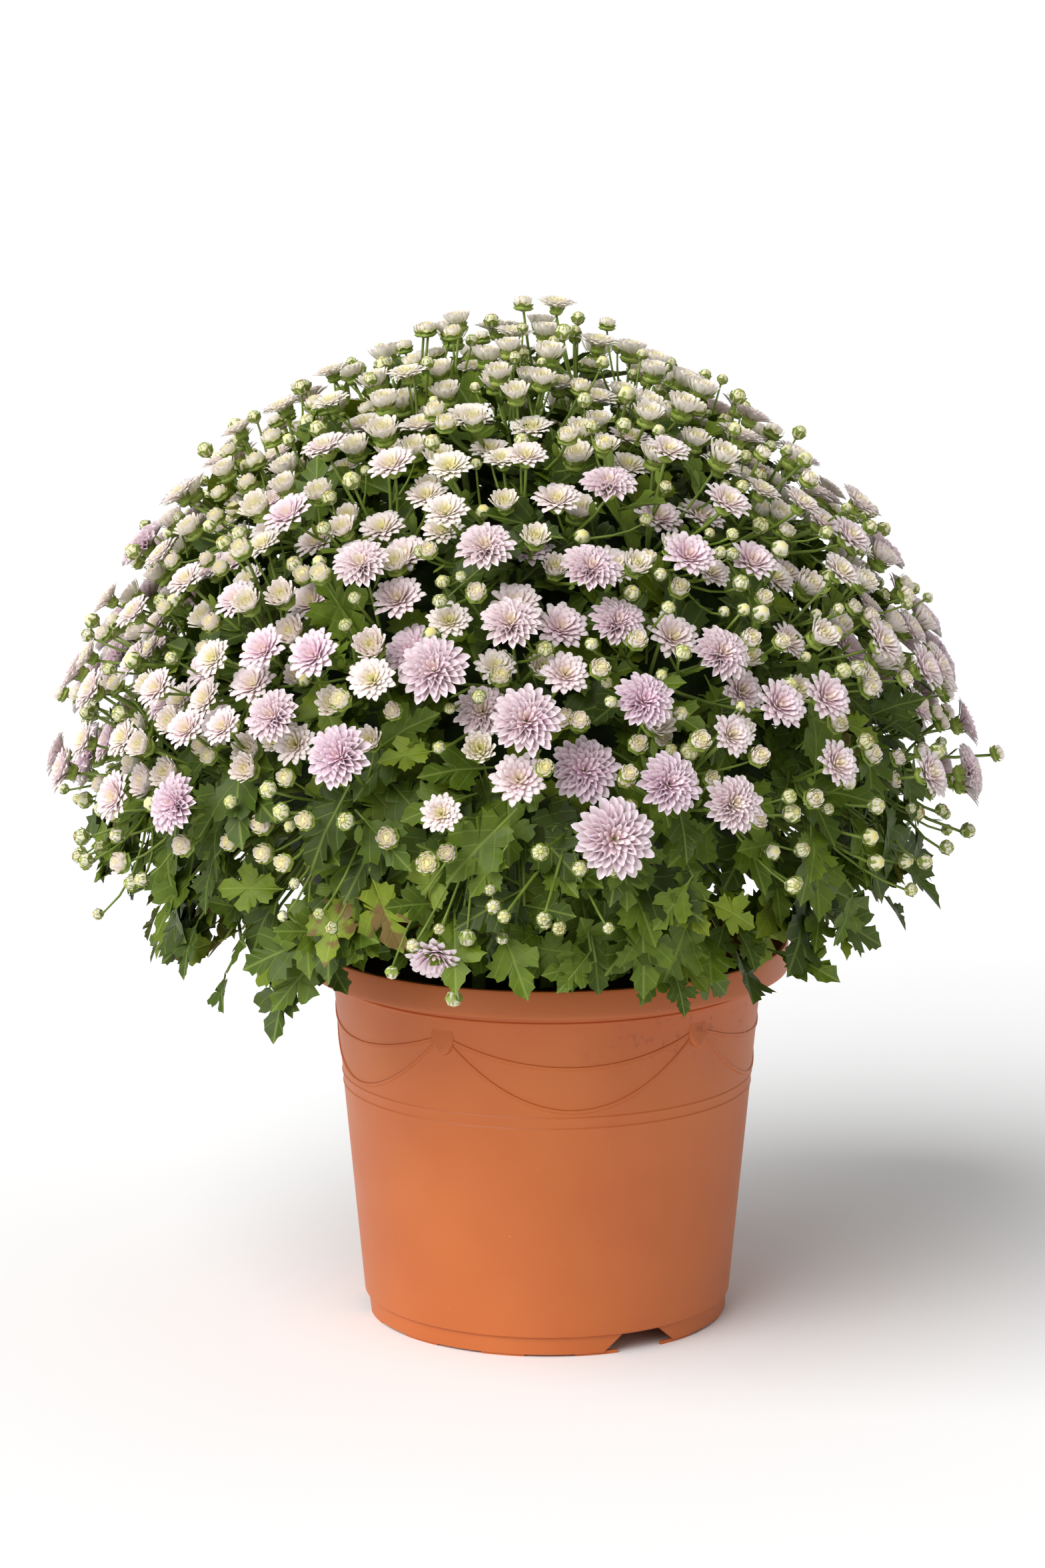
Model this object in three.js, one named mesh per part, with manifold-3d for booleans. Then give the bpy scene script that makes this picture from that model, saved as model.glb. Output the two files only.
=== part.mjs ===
// A pot chrysanthemum: a bushy plant in flower, in a terracotta-coloured growers' pot.
// Units are millimetres, +Z is up and -Y is the front. The origin is on the ground under the
// middle of the whole plant, which spreads a little further to one side of its pot's axis.
import * as THREE from "three";
import { mergeVertices } from "three/addons/utils/BufferGeometryUtils.js";
import Module from "manifold-3d";

const wasm = await Module();
wasm.setup();

// Pot
const POT_HEIGHT = 182;
const POT_AXIS_X = 8;
const POT_SIDES = 32;
const POT_TURN = 2.3;
const RIM_RADIUS = 115;
const RIM_BOTTOM = 168.8;
const RIM_INNER_RADIUS = 112.4;
const EDGE = 1.2;
const SHOULDER_HEIGHT = 166.5;
const WALL = 1.8;
const WALL_TOP_RADIUS = 102.2;
const WALL_BOTTOM_RADIUS = 87.6;
const FOOT_RADIUS = 86;
const FOOT_WALL = 3;
const FOOT_TOP = 9.6;
const FLOOR_TOP = 12;
const PAD_HEIGHT = 1;
const PAD_COUNT = 12;
const PAD_FIRST_BEARING = 16;
const PAD_WIDTH_DEGREES = 14;
const PAD_SUNK = 0.6;
const PAD_EDGE = 0.8;
const NOTCH_BEARINGS = [31, 151, 271];
const NOTCH_BOTTOM_DEGREES = 30;
const NOTCH_TOP_DEGREES = 13.5;
const NOTCH_TOP = 9;
const DRAIN_COUNT = 6;
const DRAIN_RADIUS = 6;
const DRAIN_CIRCLE_RADIUS = 58;

// Potting mix
const SOIL_SIDES = 20;
const SOIL_EDGE_HEIGHT = 163;
const SOIL_MIDDLE_HEIGHT = 167;
const SOIL_LEVEL_SHARE = 0.6;
const GAP = 0.3;

// Bush: a dome of flowers round a point above the pot
const BUSH_CENTRE = new THREE.Vector3(-8, 0, 262);
const STEM_COUNT = 8;
const STEM_CIRCLE_RADIUS = 42;
const STEM_RADIUS = 5;
const STEM_TOP_RADIUS = 4;
const STEM_SIDES = 6;
const STEM_FOOT_HEIGHT = 137;
const STEM_TOP_HEIGHT = 200;
const CORE_BOTTOM = 192;
const CORE_BOTTOM_RADIUS = 100;
const CORE_WAIST_RADIUS = 132;
const CORE_WAIST_HEIGHT = 220;
const CORE_RADIUS = 140;
const CORE_ELEVATIONS = [25, 48, 68];
const CORE_SIDES = 16;
const HALF_SLOT = 0.6;

// Flowers: every head lies this far from the bush's centre, or at a lower or higher level
const FLOWER_SEED = 20;
const HEAD_REACH = 208;
const CROWN_RISE = 18;
const CROWN_START = 66;
const SKIRT_RISE = 8;
const SKIRT_END = 26;
const LEVELS = [0, -12, -24, 9];
const DRAWN_SINK = 6;
const DRAWN_STEP = 12;
const FACING_LIFT = 0.32;
const HUB_REACH = 156;
const HUB_RADIUS = 3.2;
const HUB_RISE = 1.6;
const NECK_RADIUS = 1.2;
const SEAT_RADIUS = 1.7;
const HEAD_ROOM = 1.6;
const HEAD_HEIGHT = 0.17;
const LONGEST_STALK = 64;
const STALK_PROBES = [0.3, 0.4, 0.5, 0.6, 0.7, 0.8, 0.9];
const PETALS = 5;

// The three kinds of head, by diameter, and how deep each is for its diameter
const OPEN_DIAMETER = 17.5;
const DOUBLE_DIAMETER = 26;
const BUD_DIAMETER = 9.5;
const HEAD_DEPTHS = { open: 0.3, half: 0.62, bud: 0.9 };

// The middles of the sprays, in rows round the dome from the skirt to the crown
const SPRAY_ROWS = [
  { elevation: 4, count: 15, first: 1.5 },
  { elevation: 25, count: 15, first: 1.5 },
  { elevation: 47, count: 11, first: 2 },
  { elevation: 70, count: 7, first: 3 },
];
const STALK_SPACING = 11;

// Flowers whose places are set by hand: bearing from the front and elevation in degrees,
// then the diameter in millimetres, in bands from the skirt to the crown. A fourth number is
// how far a flower stands out of the dome.
const PLACED_FLOWERS = [
  [12, 3, 35], [19, 9, 28], [10, 11, 30], [1, 10, 24], [-8, 6, 18], [-44, 4, 27], [-56, 3, 24],
  [-75, 3, 24], [-90, 2, 22], [27, 6, 26], [43, 9, 22], [62, 5, 24], [80, 2, 26], [91, 6, 24],
  [73, 8, 12], [16, 6, 9], [13, -1, 10], [-44, 10, 13], [-67, 8, 20], [-53, 10, 14],
  [-21, 12, 29], [-29, 13, 20], [-31, 16, 25], [-26, 11, 14], [-38, 14, 19], [-44, 13, 20],
  [-52, 17, 20], [-46, 17, 20], [-70, 14, 22], [-90, 13, 22], [-14, 18, 18], [-4, 19, 25],
  [-5, 15, 11], [2, 17, 31], [7, 18, 12], [10, 18, 12], [13, 19, 10], [20, 17, 17], [17, 19, 26],
  [22, 15, 11], [24, 13, 9], [28, 14, 20], [32, 15, 14], [36, 17, 24], [44, 17, 24], [43, 11, 10],
  [70, 17, 24], [77, 16, 22], [72, 12, 20], [59, 18, 18], [64, 17, 10], [-25, 19, 16],
  [-58, 14, 9], [-26, 16, 10], [-68, 19, 22], [-79, 17, 18], [-17, 21, 20], [-22, 22, 20],
  [-15, 27, 27], [-10, 23, 30], [0, 29, 26], [-27, 24, 24], [-27, 26, 11], [-30, 22, 22],
  [-35, 24, 23], [-43, 22, 19], [-42, 20, 9], [-38, 20, 22], [-45, 25, 9], [-30, 27, 10],
  [-41, 30, 15], [-55, 31, 19], [-66, 25, 20], [-85, 24, 18], [16, 30, 25], [8, 31, 24],
  [11, 30, 13], [29, 24, 26], [35, 26, 12], [40, 25, 10], [38, 29, 9], [48, 25, 16], [53, 23, 14],
  [60, 22, 22], [57, 32, 20], [70, 31, 20], [59, 24, 9], [53, 20, 9], [88, 21, 16], [90, 26, 12],
  [2, 34, 24], [-4, 39, 26], [4, 41, 14], [5, 38, 9], [-13, 39, 10], [-27, 39, 19], [-30, 35, 12],
  [-23, 36, 25], [-20, 39, 15], [-11, 44, 20], [-40, 42, 24], [-44, 36, 13], [-47, 39, 18],
  [-52, 35, 18], [-65, 38, 14], [-50, 43, 17], [-78, 41, 20], [12, 36, 26], [17, 36, 15],
  [19, 40, 21], [28, 37, 24], [28, 35, 12], [34, 36, 18], [47, 37, 9], [45, 42, 14], [40, 44, 23],
  [30, 45, 15], [63, 33, 9], [66, 36, 22], [58, 42, 20], [71, 40, 20], [45, 46, 18], [-36, 44, 11],
  [18, 48, 25], [3, 53, 19], [-4, 49, 17], [-2, 56, 18], [-12, 51, 20], [-17, 49, 19],
  [-24, 51, 22], [-16, 56, 19], [-42, 53, 22], [-43, 49, 15], [-44, 58, 16], [-53, 45, 15],
  [-66, 54, 13], [-70, 47, 14], [-75, 58, 18], [-85, 52, 18], [-32, 58, 17], [-42, 60, 13],
  [2, 60, 12], [13, 58, 12], [21, 56, 11], [34, 53, 20], [38, 57, 17], [43, 52, 14], [49, 52, 17],
  [58, 47, 19], [50, 58, 15], [-52, 57, 9], [27, 54, 9], [-32, 49, 9], [62, 51, 10],
  [-55, 61, 18], [-40, 64, 16], [-22, 63, 13], [-10, 61, 14], [-27, 67, 16], [-40, 69, 18],
  [-85, 66, 18], [9, 62, 12], [1, 67, 14], [-6, 66, 9], [11, 70, 14], [38, 61, 15], [38, 66, 9],
  [54, 62, 17], [75, 64, 16], [60, 84, 18], [97, 1, 10, 20], [88, -7, 8, 4], [-95, 9, 10, 8],
];

// The rest are drawn at random, the large ones first, each kind within its own band.
// "clear" is how far from the front the band starts, because the front is already set.
const DRAWN_FLOWERS = [
  { tries: 165, low: -3, high: 34, small: 24, large: 31, clear: 84 },
  { tries: 265, low: -2, high: 58, small: 18, large: 24, clear: 84 },
  { tries: 80, low: 20, high: 88, small: 12, large: 18, clear: 80 },
  { tries: 50, low: 62, high: 90, small: 10, large: 18, clear: 0 },
  { tries: 40, low: -6, high: 88, small: 8, large: 9.4, clear: 0 },
];

// A spray with fewer flowers than this gets buds round its middle.
const FEWEST_FLOWERS = 5;
const FILL_TRIES = 24;
const FILL_SPREAD = 17;
const FILL_DIAMETER = 8.5;

// Leaves
const DOME_LEAVES = 9;
const LEAF_SEED = 100;
const LEAF_TRIES = 3000;
const LEAF_ELEVATIONS = [-20, 76];
const LEAF_LEANS = [14, 38];
const LEAF_SIZES = [0.75, 1.1];
const LEAF_LENGTH = 44;
const LEAF_WIDTH = 33;
const LEAF_THICKNESS = 2;
const LEAF_RIDGE = 1;
const LEAF_FOLD = 0.18;
const LEAF_DROOP = 0.16;
const LEAF_SUNK = 10;
const LEAF_SPACING = 22;
const LEAF_MIDDLE = 0.62;
const LEAF_CEILING = 183;
const SHOOT_SEED = 300;
const SHOOT_OFFSETS = [-14, 0, 14];
const SHOOT_BEARING_SPREAD = 4;
const SHOOT_ELEVATION = -15;
const SHOOT_ELEVATION_SPREAD = 16;
const SHOOT_REACH = 180;
const SHOOT_REACH_SPREAD = 18;
const SHOOT_ROOT_REACH = 120;
const SHOOT_DROOP = 34;
const SHOOT_FACING = 0.7;
const SHOOT_RADIUS = 1.9;
const SHOOT_TIP_RADIUS = 1.3;
const SHOOT_LEAVES = [
  { lobes: "five", share: 1, turn: 0, size: 0.9 },
  { lobes: "three", share: 0.72, turn: 0.9, size: 0.74 },
  { lobes: "three", share: 0.44, turn: -0.9, size: 0.8 },
];
const STALK_CLEARANCE = 3.6;
const SECTOR_CLEARANCE = 0.4;
const POT_CLEARANCE = 3;

// Leaf outlines: shares of the length and of the width, from the root round to the root
const LOBES = {
  five: [
    [0, 0], [0.4, -0.36], [0.54, -0.17], [0.74, -0.5], [0.78, -0.19],
    [1, 0], [0.78, 0.19], [0.74, 0.5], [0.54, 0.17], [0.4, 0.36],
  ],
  three: [[0, 0], [0.52, -0.44], [0.68, -0.17], [1, 0], [0.68, 0.17], [0.52, 0.44]],
};

// ---------------------------------------------------------------------------------------------
// Helpers

const radians = THREE.MathUtils.degToRad;

/** Numbers from 0 to 1 that are the same on every run. */
function seededRandom(seed) {
  let state = seed >>> 0;
  return () => {
    state = (Math.imul(state, 1664525) + 1013904223) >>> 0;
    return state / 4294967296;
  };
}

/** A unit vector: the bearing turns from the front to the right, the elevation up. */
function direction(bearing, elevation) {
  const flat = Math.cos(radians(elevation));
  return new THREE.Vector3(
    flat * Math.sin(radians(bearing)),
    -flat * Math.cos(radians(bearing)),
    Math.sin(radians(elevation)),
  );
}

/** The point at a distance from the bush's centre. */
function fromCentre(unit, distance) {
  return BUSH_CENTRE.clone().addScaledVector(unit, distance);
}

/** Two unit vectors across an axis, which with it make a right-handed frame. */
function across(axis) {
  const side = new THREE.Vector3(0, 0, 1).cross(axis);
  if (side.length() < 0.01) {
    side.set(1, 0, 0);
  }
  side.normalize();
  return [side, axis.clone().cross(side)];
}

/** The angle of a point round an axis through another point. */
function angleRound(point, centre, axis) {
  const [side, up] = across(axis);
  const offset = point.clone().sub(centre);
  return Math.atan2(offset.dot(up), offset.dot(side));
}

/** A closed three.js geometry as a solid that can be cut and joined. */
function solid(geometry) {
  const plain = geometry.clone();
  plain.deleteAttribute("normal");
  plain.deleteAttribute("uv");
  const merged = mergeVertices(plain, 1e-4);
  const corners = merged.index.array;
  const kept = [];
  for (let i = 0; i < corners.length; i += 3) {
    const [a, b, c] = [corners[i], corners[i + 1], corners[i + 2]];
    if (a !== b && b !== c && c !== a) {
      kept.push(a, b, c);
    }
  }
  return new wasm.Manifold(new wasm.Mesh({
    numProp: 3,
    vertProperties: merged.attributes.position.array,
    triVerts: new Uint32Array(kept),
  }));
}

/** A solid as a three.js geometry. */
function geometryOf(manifold) {
  const { vertProperties, triVerts } = manifold.getMesh();
  const geometry = new THREE.BufferGeometry();
  geometry.setAttribute("position", new THREE.BufferAttribute(new Float32Array(vertProperties), 3));
  geometry.setIndex(new THREE.BufferAttribute(new Uint32Array(triVerts), 1));
  geometry.computeVertexNormals();
  return geometry;
}

/** A profile of [radius, height] points turned about the Z axis. */
function turned(profile, sides) {
  const points = profile.map(([radius, height]) => new THREE.Vector2(radius, height));
  return new THREE.LatheGeometry(points, sides).rotateX(Math.PI / 2);
}

/** A round bar from one point to another. */
function bar(from, to, fromRadius, toRadius, sides) {
  const along = to.clone().sub(from);
  const geometry = new THREE.CylinderGeometry(toRadius, fromRadius, along.length(), sides);
  geometry.rotateX(Math.PI / 2);
  const turn = new THREE.Quaternion().setFromUnitVectors(
    new THREE.Vector3(0, 0, 1), along.clone().normalize());
  geometry.applyQuaternion(turn);
  const middle = from.clone().lerp(to, 0.5);
  return geometry.translate(middle.x, middle.y, middle.z);
}

/** A surface built loop by loop. Every loop runs anticlockwise, seen from the surface's tip. */
class Skin {
  constructor() {
    this.points = [];
    this.triangles = [];
  }

  loop(points) {
    const first = this.points.length;
    this.points.push(...points);
    return points.map((_, i) => first + i);
  }

  /** Joins a lower loop to an upper one, whose number of points may differ. */
  bridge(lower, upper) {
    let i = 0;
    let j = 0;
    while (i < lower.length || j < upper.length) {
      const here = lower[i % lower.length];
      const there = upper[j % upper.length];
      if ((i + 1) / lower.length <= (j + 1) / upper.length) {
        i += 1;
        this.triangles.push(here, lower[i % lower.length], there);
      } else {
        j += 1;
        this.triangles.push(here, upper[j % upper.length], there);
      }
    }
  }

  /** Closes a loop with a fan to one point. */
  fan(loop, point) {
    const [tip] = this.loop([point]);
    loop.forEach((corner, i) => this.triangles.push(corner, loop[(i + 1) % loop.length], tip));
  }

  geometry() {
    const geometry = new THREE.BufferGeometry().setFromPoints(this.points);
    geometry.setIndex(this.triangles);
    geometry.computeVertexNormals();
    return geometry;
  }
}

/** A ring of points across an axis; radii and heights repeat round it. */
function ring(centre, axis, count, phase, radii, heights) {
  const [side, up] = across(axis);
  return Array.from({ length: count }, (_, i) => {
    const angle = phase + (i * 2 * Math.PI) / count;
    const radius = radii[i % radii.length];
    return centre.clone()
      .addScaledVector(side, radius * Math.cos(angle))
      .addScaledVector(up, radius * Math.sin(angle))
      .addScaledVector(axis, heights[i % heights.length]);
  });
}

// ---------------------------------------------------------------------------------------------
// Pot and potting mix

/** A pad under the foot ring, which the pot stands on: a short piece of a ring. */
function padGeometry(bearing) {
  const start = radians(bearing - PAD_WIDTH_DEGREES / 2 - 90);
  const end = radians(bearing + PAD_WIDTH_DEGREES / 2 - 90);
  const shape = new THREE.Shape();
  shape.absarc(0, 0, FOOT_RADIUS - PAD_EDGE, start, end, false);
  shape.absarc(0, 0, FOOT_RADIUS - FOOT_WALL + PAD_EDGE, end, start, true);
  return new THREE.ExtrudeGeometry(shape, {
    depth: PAD_HEIGHT + PAD_SUNK, bevelEnabled: false, curveSegments: 1,
  });
}

/** The wedge that a notch takes out of the foot ring: wide at the ground, narrow above. */
function notchCutter(bearing) {
  const near = FOOT_RADIUS - 2 * FOOT_WALL;
  const far = FOOT_RADIUS + 2 * FOOT_WALL;
  const bottomHalf = FOOT_RADIUS * Math.tan(radians(NOTCH_BOTTOM_DEGREES / 2));
  const topHalf = FOOT_RADIUS * Math.tan(radians(NOTCH_TOP_DEGREES / 2));
  const shape = new THREE.Shape();
  shape.moveTo(-bottomHalf, -PAD_HEIGHT);
  shape.lineTo(bottomHalf, -PAD_HEIGHT);
  shape.lineTo(topHalf, NOTCH_TOP);
  shape.lineTo(-topHalf, NOTCH_TOP);
  const geometry = new THREE.ExtrudeGeometry(shape, { depth: far - near, bevelEnabled: false });
  geometry.rotateX(Math.PI / 2).translate(0, -near, 0);
  return geometry.rotateZ(radians(bearing));
}

function potGeometry() {
  const inner = FOOT_RADIUS - FOOT_WALL;
  let pot = solid(turned([
    [0, FLOOR_TOP],
    [WALL_BOTTOM_RADIUS - WALL, FLOOR_TOP],
    [WALL_TOP_RADIUS - WALL, SHOULDER_HEIGHT],
    [RIM_INNER_RADIUS - EDGE, RIM_BOTTOM + EDGE],
    [RIM_INNER_RADIUS, POT_HEIGHT],
    [RIM_RADIUS - EDGE, POT_HEIGHT],
    [RIM_RADIUS, POT_HEIGHT - EDGE],
    [RIM_RADIUS, RIM_BOTTOM],
    [WALL_TOP_RADIUS, RIM_BOTTOM - EDGE],
    [WALL_BOTTOM_RADIUS, FOOT_TOP],
    [FOOT_RADIUS, FOOT_TOP],
    [FOOT_RADIUS, PAD_HEIGHT],
    [inner, PAD_HEIGHT],
    [inner, FLOOR_TOP - WALL],
    [0, FLOOR_TOP - WALL],
  ].reverse(), POT_SIDES).rotateZ(radians(POT_TURN)));
  for (let i = 0; i < PAD_COUNT; i += 1) {
    const bearing = PAD_FIRST_BEARING + (i * 360) / PAD_COUNT;
    pot = pot.add(solid(padGeometry(bearing)));
  }
  for (const bearing of NOTCH_BEARINGS) {
    pot = pot.subtract(solid(notchCutter(bearing)));
  }
  for (let i = 0; i < DRAIN_COUNT; i += 1) {
    const place = direction((i * 360) / DRAIN_COUNT, 0).multiplyScalar(DRAIN_CIRCLE_RADIUS);
    const below = place.clone().setZ(FLOOR_TOP - 2 * WALL);
    const above = place.clone().setZ(FLOOR_TOP + WALL);
    pot = pot.subtract(solid(bar(below, above, DRAIN_RADIUS, DRAIN_RADIUS, 6)));
  }
  return geometryOf(pot.translate([POT_AXIS_X, 0, 0]));
}

/** The vertical line of the nth stem, which stands in the potting mix under its own foliage. */
function stemPlace(index, height) {
  return fromCentre(direction(stemBearing(index), 0), STEM_CIRCLE_RADIUS).setZ(height);
}

function stemBearing(index) {
  return ((index + 0.5) * 360) / STEM_COUNT;
}

function pottingMixGeometry() {
  const slope = (WALL_TOP_RADIUS - WALL_BOTTOM_RADIUS) / (RIM_BOTTOM - FLOOR_TOP);
  const bottomRadius = WALL_BOTTOM_RADIUS - WALL - 2 * GAP;
  const topRadius = bottomRadius + slope * (SOIL_EDGE_HEIGHT - FLOOR_TOP);
  let mix = solid(turned([
    [0, FLOOR_TOP + GAP],
    [bottomRadius, FLOOR_TOP + GAP],
    [topRadius, SOIL_EDGE_HEIGHT],
    [topRadius * SOIL_LEVEL_SHARE, SOIL_MIDDLE_HEIGHT],
    [0, SOIL_MIDDLE_HEIGHT],
  ], SOIL_SIDES).translate(POT_AXIS_X, 0, 0));
  for (let i = 0; i < STEM_COUNT; i += 1) {
    const bottom = stemPlace(i, STEM_FOOT_HEIGHT);
    const top = stemPlace(i, SOIL_MIDDLE_HEIGHT + STEM_RADIUS);
    const radius = STEM_RADIUS + GAP;
    mix = mix.subtract(solid(bar(bottom, top, radius, radius, STEM_SIDES)));
  }
  return geometryOf(mix);
}

// ---------------------------------------------------------------------------------------------
// Where the flowers are

/** How far from the bush's centre the heads at an elevation reach. */
function reach(elevation) {
  const crown = THREE.MathUtils.smoothstep(elevation, CROWN_START, 90);
  const skirt = 1 - THREE.MathUtils.smoothstep(elevation, 0, SKIRT_END);
  return HEAD_REACH + CROWN_RISE * crown + SKIRT_RISE * skirt;
}

function kindOf(diameter) {
  if (diameter >= OPEN_DIAMETER) {
    return "open";
  }
  return diameter >= BUD_DIAMETER ? "half" : "bud";
}

/** A flower head that faces outwards and a little up, at a level from the dome's surface. */
function makeFlower(bearing, elevation, diameter, level) {
  const unit = direction(bearing, elevation);
  const facing = unit.clone().add(new THREE.Vector3(0, 0, FACING_LIFT)).normalize();
  const kind = kindOf(diameter);
  const depth = HEAD_DEPTHS[kind] * diameter;
  const centre = fromCentre(unit, reach(elevation) + level);
  const neck = centre.clone().addScaledVector(facing, -depth);
  const spray = nearestSpray(unit);
  const turn = angleRound(neck, fromCentre(sprayUnits[spray], HUB_REACH), sprayUnits[spray]);
  return { unit, facing, kind, diameter, depth, centre, neck, spray, turn };
}

/** The middles of the sprays' patches on the dome, in rows from the skirt to the crown. */
const sprayMiddles = SPRAY_ROWS.flatMap(({ elevation, count, first }) =>
  Array.from({ length: count }, (_, i) => [first + (i * 360) / count, elevation]));
const sprayUnits = sprayMiddles.map(([bearing, elevation]) => direction(bearing, elevation));

function nearestSpray(unit) {
  let best = 0;
  sprayUnits.forEach((middle, i) => {
    if (middle.dot(unit) > sprayUnits[best].dot(unit)) {
      best = i;
    }
  });
  return best;
}

/** The points where a flower could touch another: its rim, its face and its stalk. */
function probes(flower) {
  const points = [flower.centre, flower.neck];
  points.push(...ring(flower.centre, flower.facing, 10, 0, [flower.diameter / 2], [0]));
  const half = flower.centre.clone().addScaledVector(flower.facing, -flower.depth / 2);
  points.push(...ring(half, flower.facing, 6, 0, [flower.diameter / 3], [0]));
  const hub = fromCentre(sprayUnits[flower.spray], HUB_REACH);
  for (const share of STALK_PROBES) {
    points.push(hub.clone().lerp(flower.neck, share));
  }
  return points;
}

/** Whether a point lies in or close to a flower head. */
function touchesHead(point, flower) {
  const offset = point.clone().sub(flower.centre);
  const height = offset.dot(flower.facing);
  const aside = Math.sqrt(Math.max(0, offset.lengthSq() - height * height));
  const top = flower.diameter * HEAD_HEIGHT + HEAD_ROOM;
  const beside = aside < flower.diameter / 2 + HEAD_ROOM;
  return beside && height < top && height > -flower.depth - HEAD_ROOM;
}

function flowersTouch(one, other) {
  const far = (one.diameter + other.diameter) / 2 + LONGEST_STALK;
  if (one.centre.distanceTo(other.centre) > far) {
    return false;
  }
  const stalksMeet = Math.cos(one.turn - other.turn) > Math.cos(radians(STALK_SPACING));
  if (one.spray === other.spray && stalksMeet) {
    return true;
  }
  return one.probes.some((point) => touchesHead(point, other))
    || other.probes.some((point) => touchesHead(point, one));
}

/** Tries a flower level by level and keeps it at the first one where it has room. */
function tryFlower(flowers, bearing, elevation, diameter, levels) {
  for (const level of levels) {
    const flower = makeFlower(bearing, elevation, diameter, level);
    flower.probes = probes(flower);
    if (!flowers.some((other) => flowersTouch(flower, other))) {
      flowers.push(flower);
      return;
    }
  }
}

function layOutFlowers() {
  const flowers = [];
  const placed = [...PLACED_FLOWERS].sort((a, b) => b[2] - a[2]);
  for (const [bearing, elevation, diameter, level] of placed) {
    tryFlower(flowers, bearing, elevation, diameter, level === undefined ? LEVELS : [level]);
  }
  const random = seededRandom(FLOWER_SEED);
  for (const kind of DRAWN_FLOWERS) {
    const lowSine = Math.sin(radians(kind.low));
    const highSine = Math.sin(radians(kind.high));
    for (let i = 0; i < kind.tries; i += 1) {
      const bearing = 180 + (random() * 2 - 1) * (180 - kind.clear);
      const sine = lowSine + random() * (highSine - lowSine);
      const diameter = kind.small + random() * (kind.large - kind.small);
      const level = -DRAWN_SINK * random();
      const elevation = THREE.MathUtils.radToDeg(Math.asin(sine));
      tryFlower(flowers, bearing, elevation, diameter, [level, level - DRAWN_STEP]);
    }
  }
  sprayMiddles.forEach(([middleBearing, middleElevation], spray) => {
    for (let i = 0; i < FILL_TRIES; i += 1) {
      const bearing = middleBearing + FILL_SPREAD * (random() - 0.5);
      const elevation = middleElevation + FILL_SPREAD * (random() - 0.5);
      if (flowers.filter((flower) => flower.spray === spray).length < FEWEST_FLOWERS) {
        tryFlower(flowers, bearing, elevation, FILL_DIAMETER, [0, -DRAWN_STEP]);
      }
    }
  });
  return flowers;
}

// ---------------------------------------------------------------------------------------------
// Leafy stems

/** The core's outline, from its flat bottom over the flank to its top. */
const CORE_PROFILE = [
  [0, CORE_BOTTOM],
  [CORE_BOTTOM_RADIUS, CORE_BOTTOM],
  [CORE_WAIST_RADIUS, CORE_WAIST_HEIGHT],
  [CORE_RADIUS, BUSH_CENTRE.z],
  ...CORE_ELEVATIONS.map((elevation) => [
    CORE_RADIUS * Math.cos(radians(elevation)),
    BUSH_CENTRE.z + CORE_RADIUS * Math.sin(radians(elevation)),
  ]),
  [0, BUSH_CENTRE.z + CORE_RADIUS],
];

/** The sector of the bush that one stem fills: a tall prism, a little narrower than its share. */
function sectorGeometry(index) {
  const half = Math.PI / STEM_COUNT;
  const start = HALF_SLOT / Math.sin(half);
  const far = 2 * CORE_RADIUS;
  const shape = new THREE.Shape();
  shape.moveTo(start, 0);
  shape.lineTo(start + far, -far * Math.tan(half));
  shape.lineTo(start + far, far * Math.tan(half));
  const geometry = new THREE.ExtrudeGeometry(shape, { depth: 2 * far, bevelEnabled: false });
  geometry.rotateZ(radians(stemBearing(index) - 90));
  return geometry.translate(BUSH_CENTRE.x, BUSH_CENTRE.y, 0);
}

/** The dense inside of the foliage of one stem. */
function coreSolid(index) {
  const whole = turned(CORE_PROFILE, CORE_SIDES);
  whole.rotateZ(radians(stemBearing(index))).translate(BUSH_CENTRE.x, BUSH_CENTRE.y, 0);
  return solid(whole).intersect(solid(sectorGeometry(index)));
}

/** How far a point is inside a stem's sector, across the nearer of its two faces. */
function insideSector(index, point) {
  const offset = point.clone().sub(BUSH_CENTRE);
  const half = 180 / STEM_COUNT;
  const bearing = stemBearing(index);
  const leftFace = direction(bearing - half + 90, 0);
  const rightFace = direction(bearing + half - 90, 0);
  return Math.min(offset.dot(leftFace), offset.dot(rightFace));
}

/** A lobed blade whose root is at a point, which runs along one direction and faces another. */
function leafBlade(lobes, root, along, facing, length, width) {
  const aside = facing.clone().cross(along).normalize();
  const up = along.clone().cross(aside);
  const place = (x, y, lift) => root.clone()
    .addScaledVector(along, x * length)
    .addScaledVector(aside, y * width)
    .addScaledVector(up, lift + LEAF_FOLD * Math.abs(y) * width - LEAF_DROOP * x * x * length);
  const skin = new Skin();
  const rim = skin.loop(lobes.map(([x, y]) => place(x, y, 0)));
  skin.fan(rim, place(LEAF_MIDDLE, 0, LEAF_RIDGE + LEAF_THICKNESS / 2));
  skin.fan([...rim].reverse(), place(LEAF_MIDDLE, 0, LEAF_RIDGE - LEAF_THICKNESS / 2));
  return skin;
}

/** The segments of all stalks, which leaves stay clear of. */
function stalkSegments(sprays) {
  return sprays.flatMap((spray) => [
    [fromCentre(spray.unit, CORE_RADIUS - LEAF_SUNK), spray.hub],
    ...spray.flowers.map((flower) => [spray.hub, flower.neck]),
  ]);
}

/** The corners of a blade and the middles of its edges and faces. */
function bladeProbes(skin) {
  const points = [...skin.points];
  for (let i = 0; i < skin.triangles.length; i += 3) {
    const [a, b, c] = skin.triangles.slice(i, i + 3).map((corner) => skin.points[corner]);
    points.push(a.clone().lerp(b, 0.5), b.clone().lerp(c, 0.5), c.clone().lerp(a, 0.5));
    points.push(a.clone().add(b).add(c).divideScalar(3));
  }
  return points;
}

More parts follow.
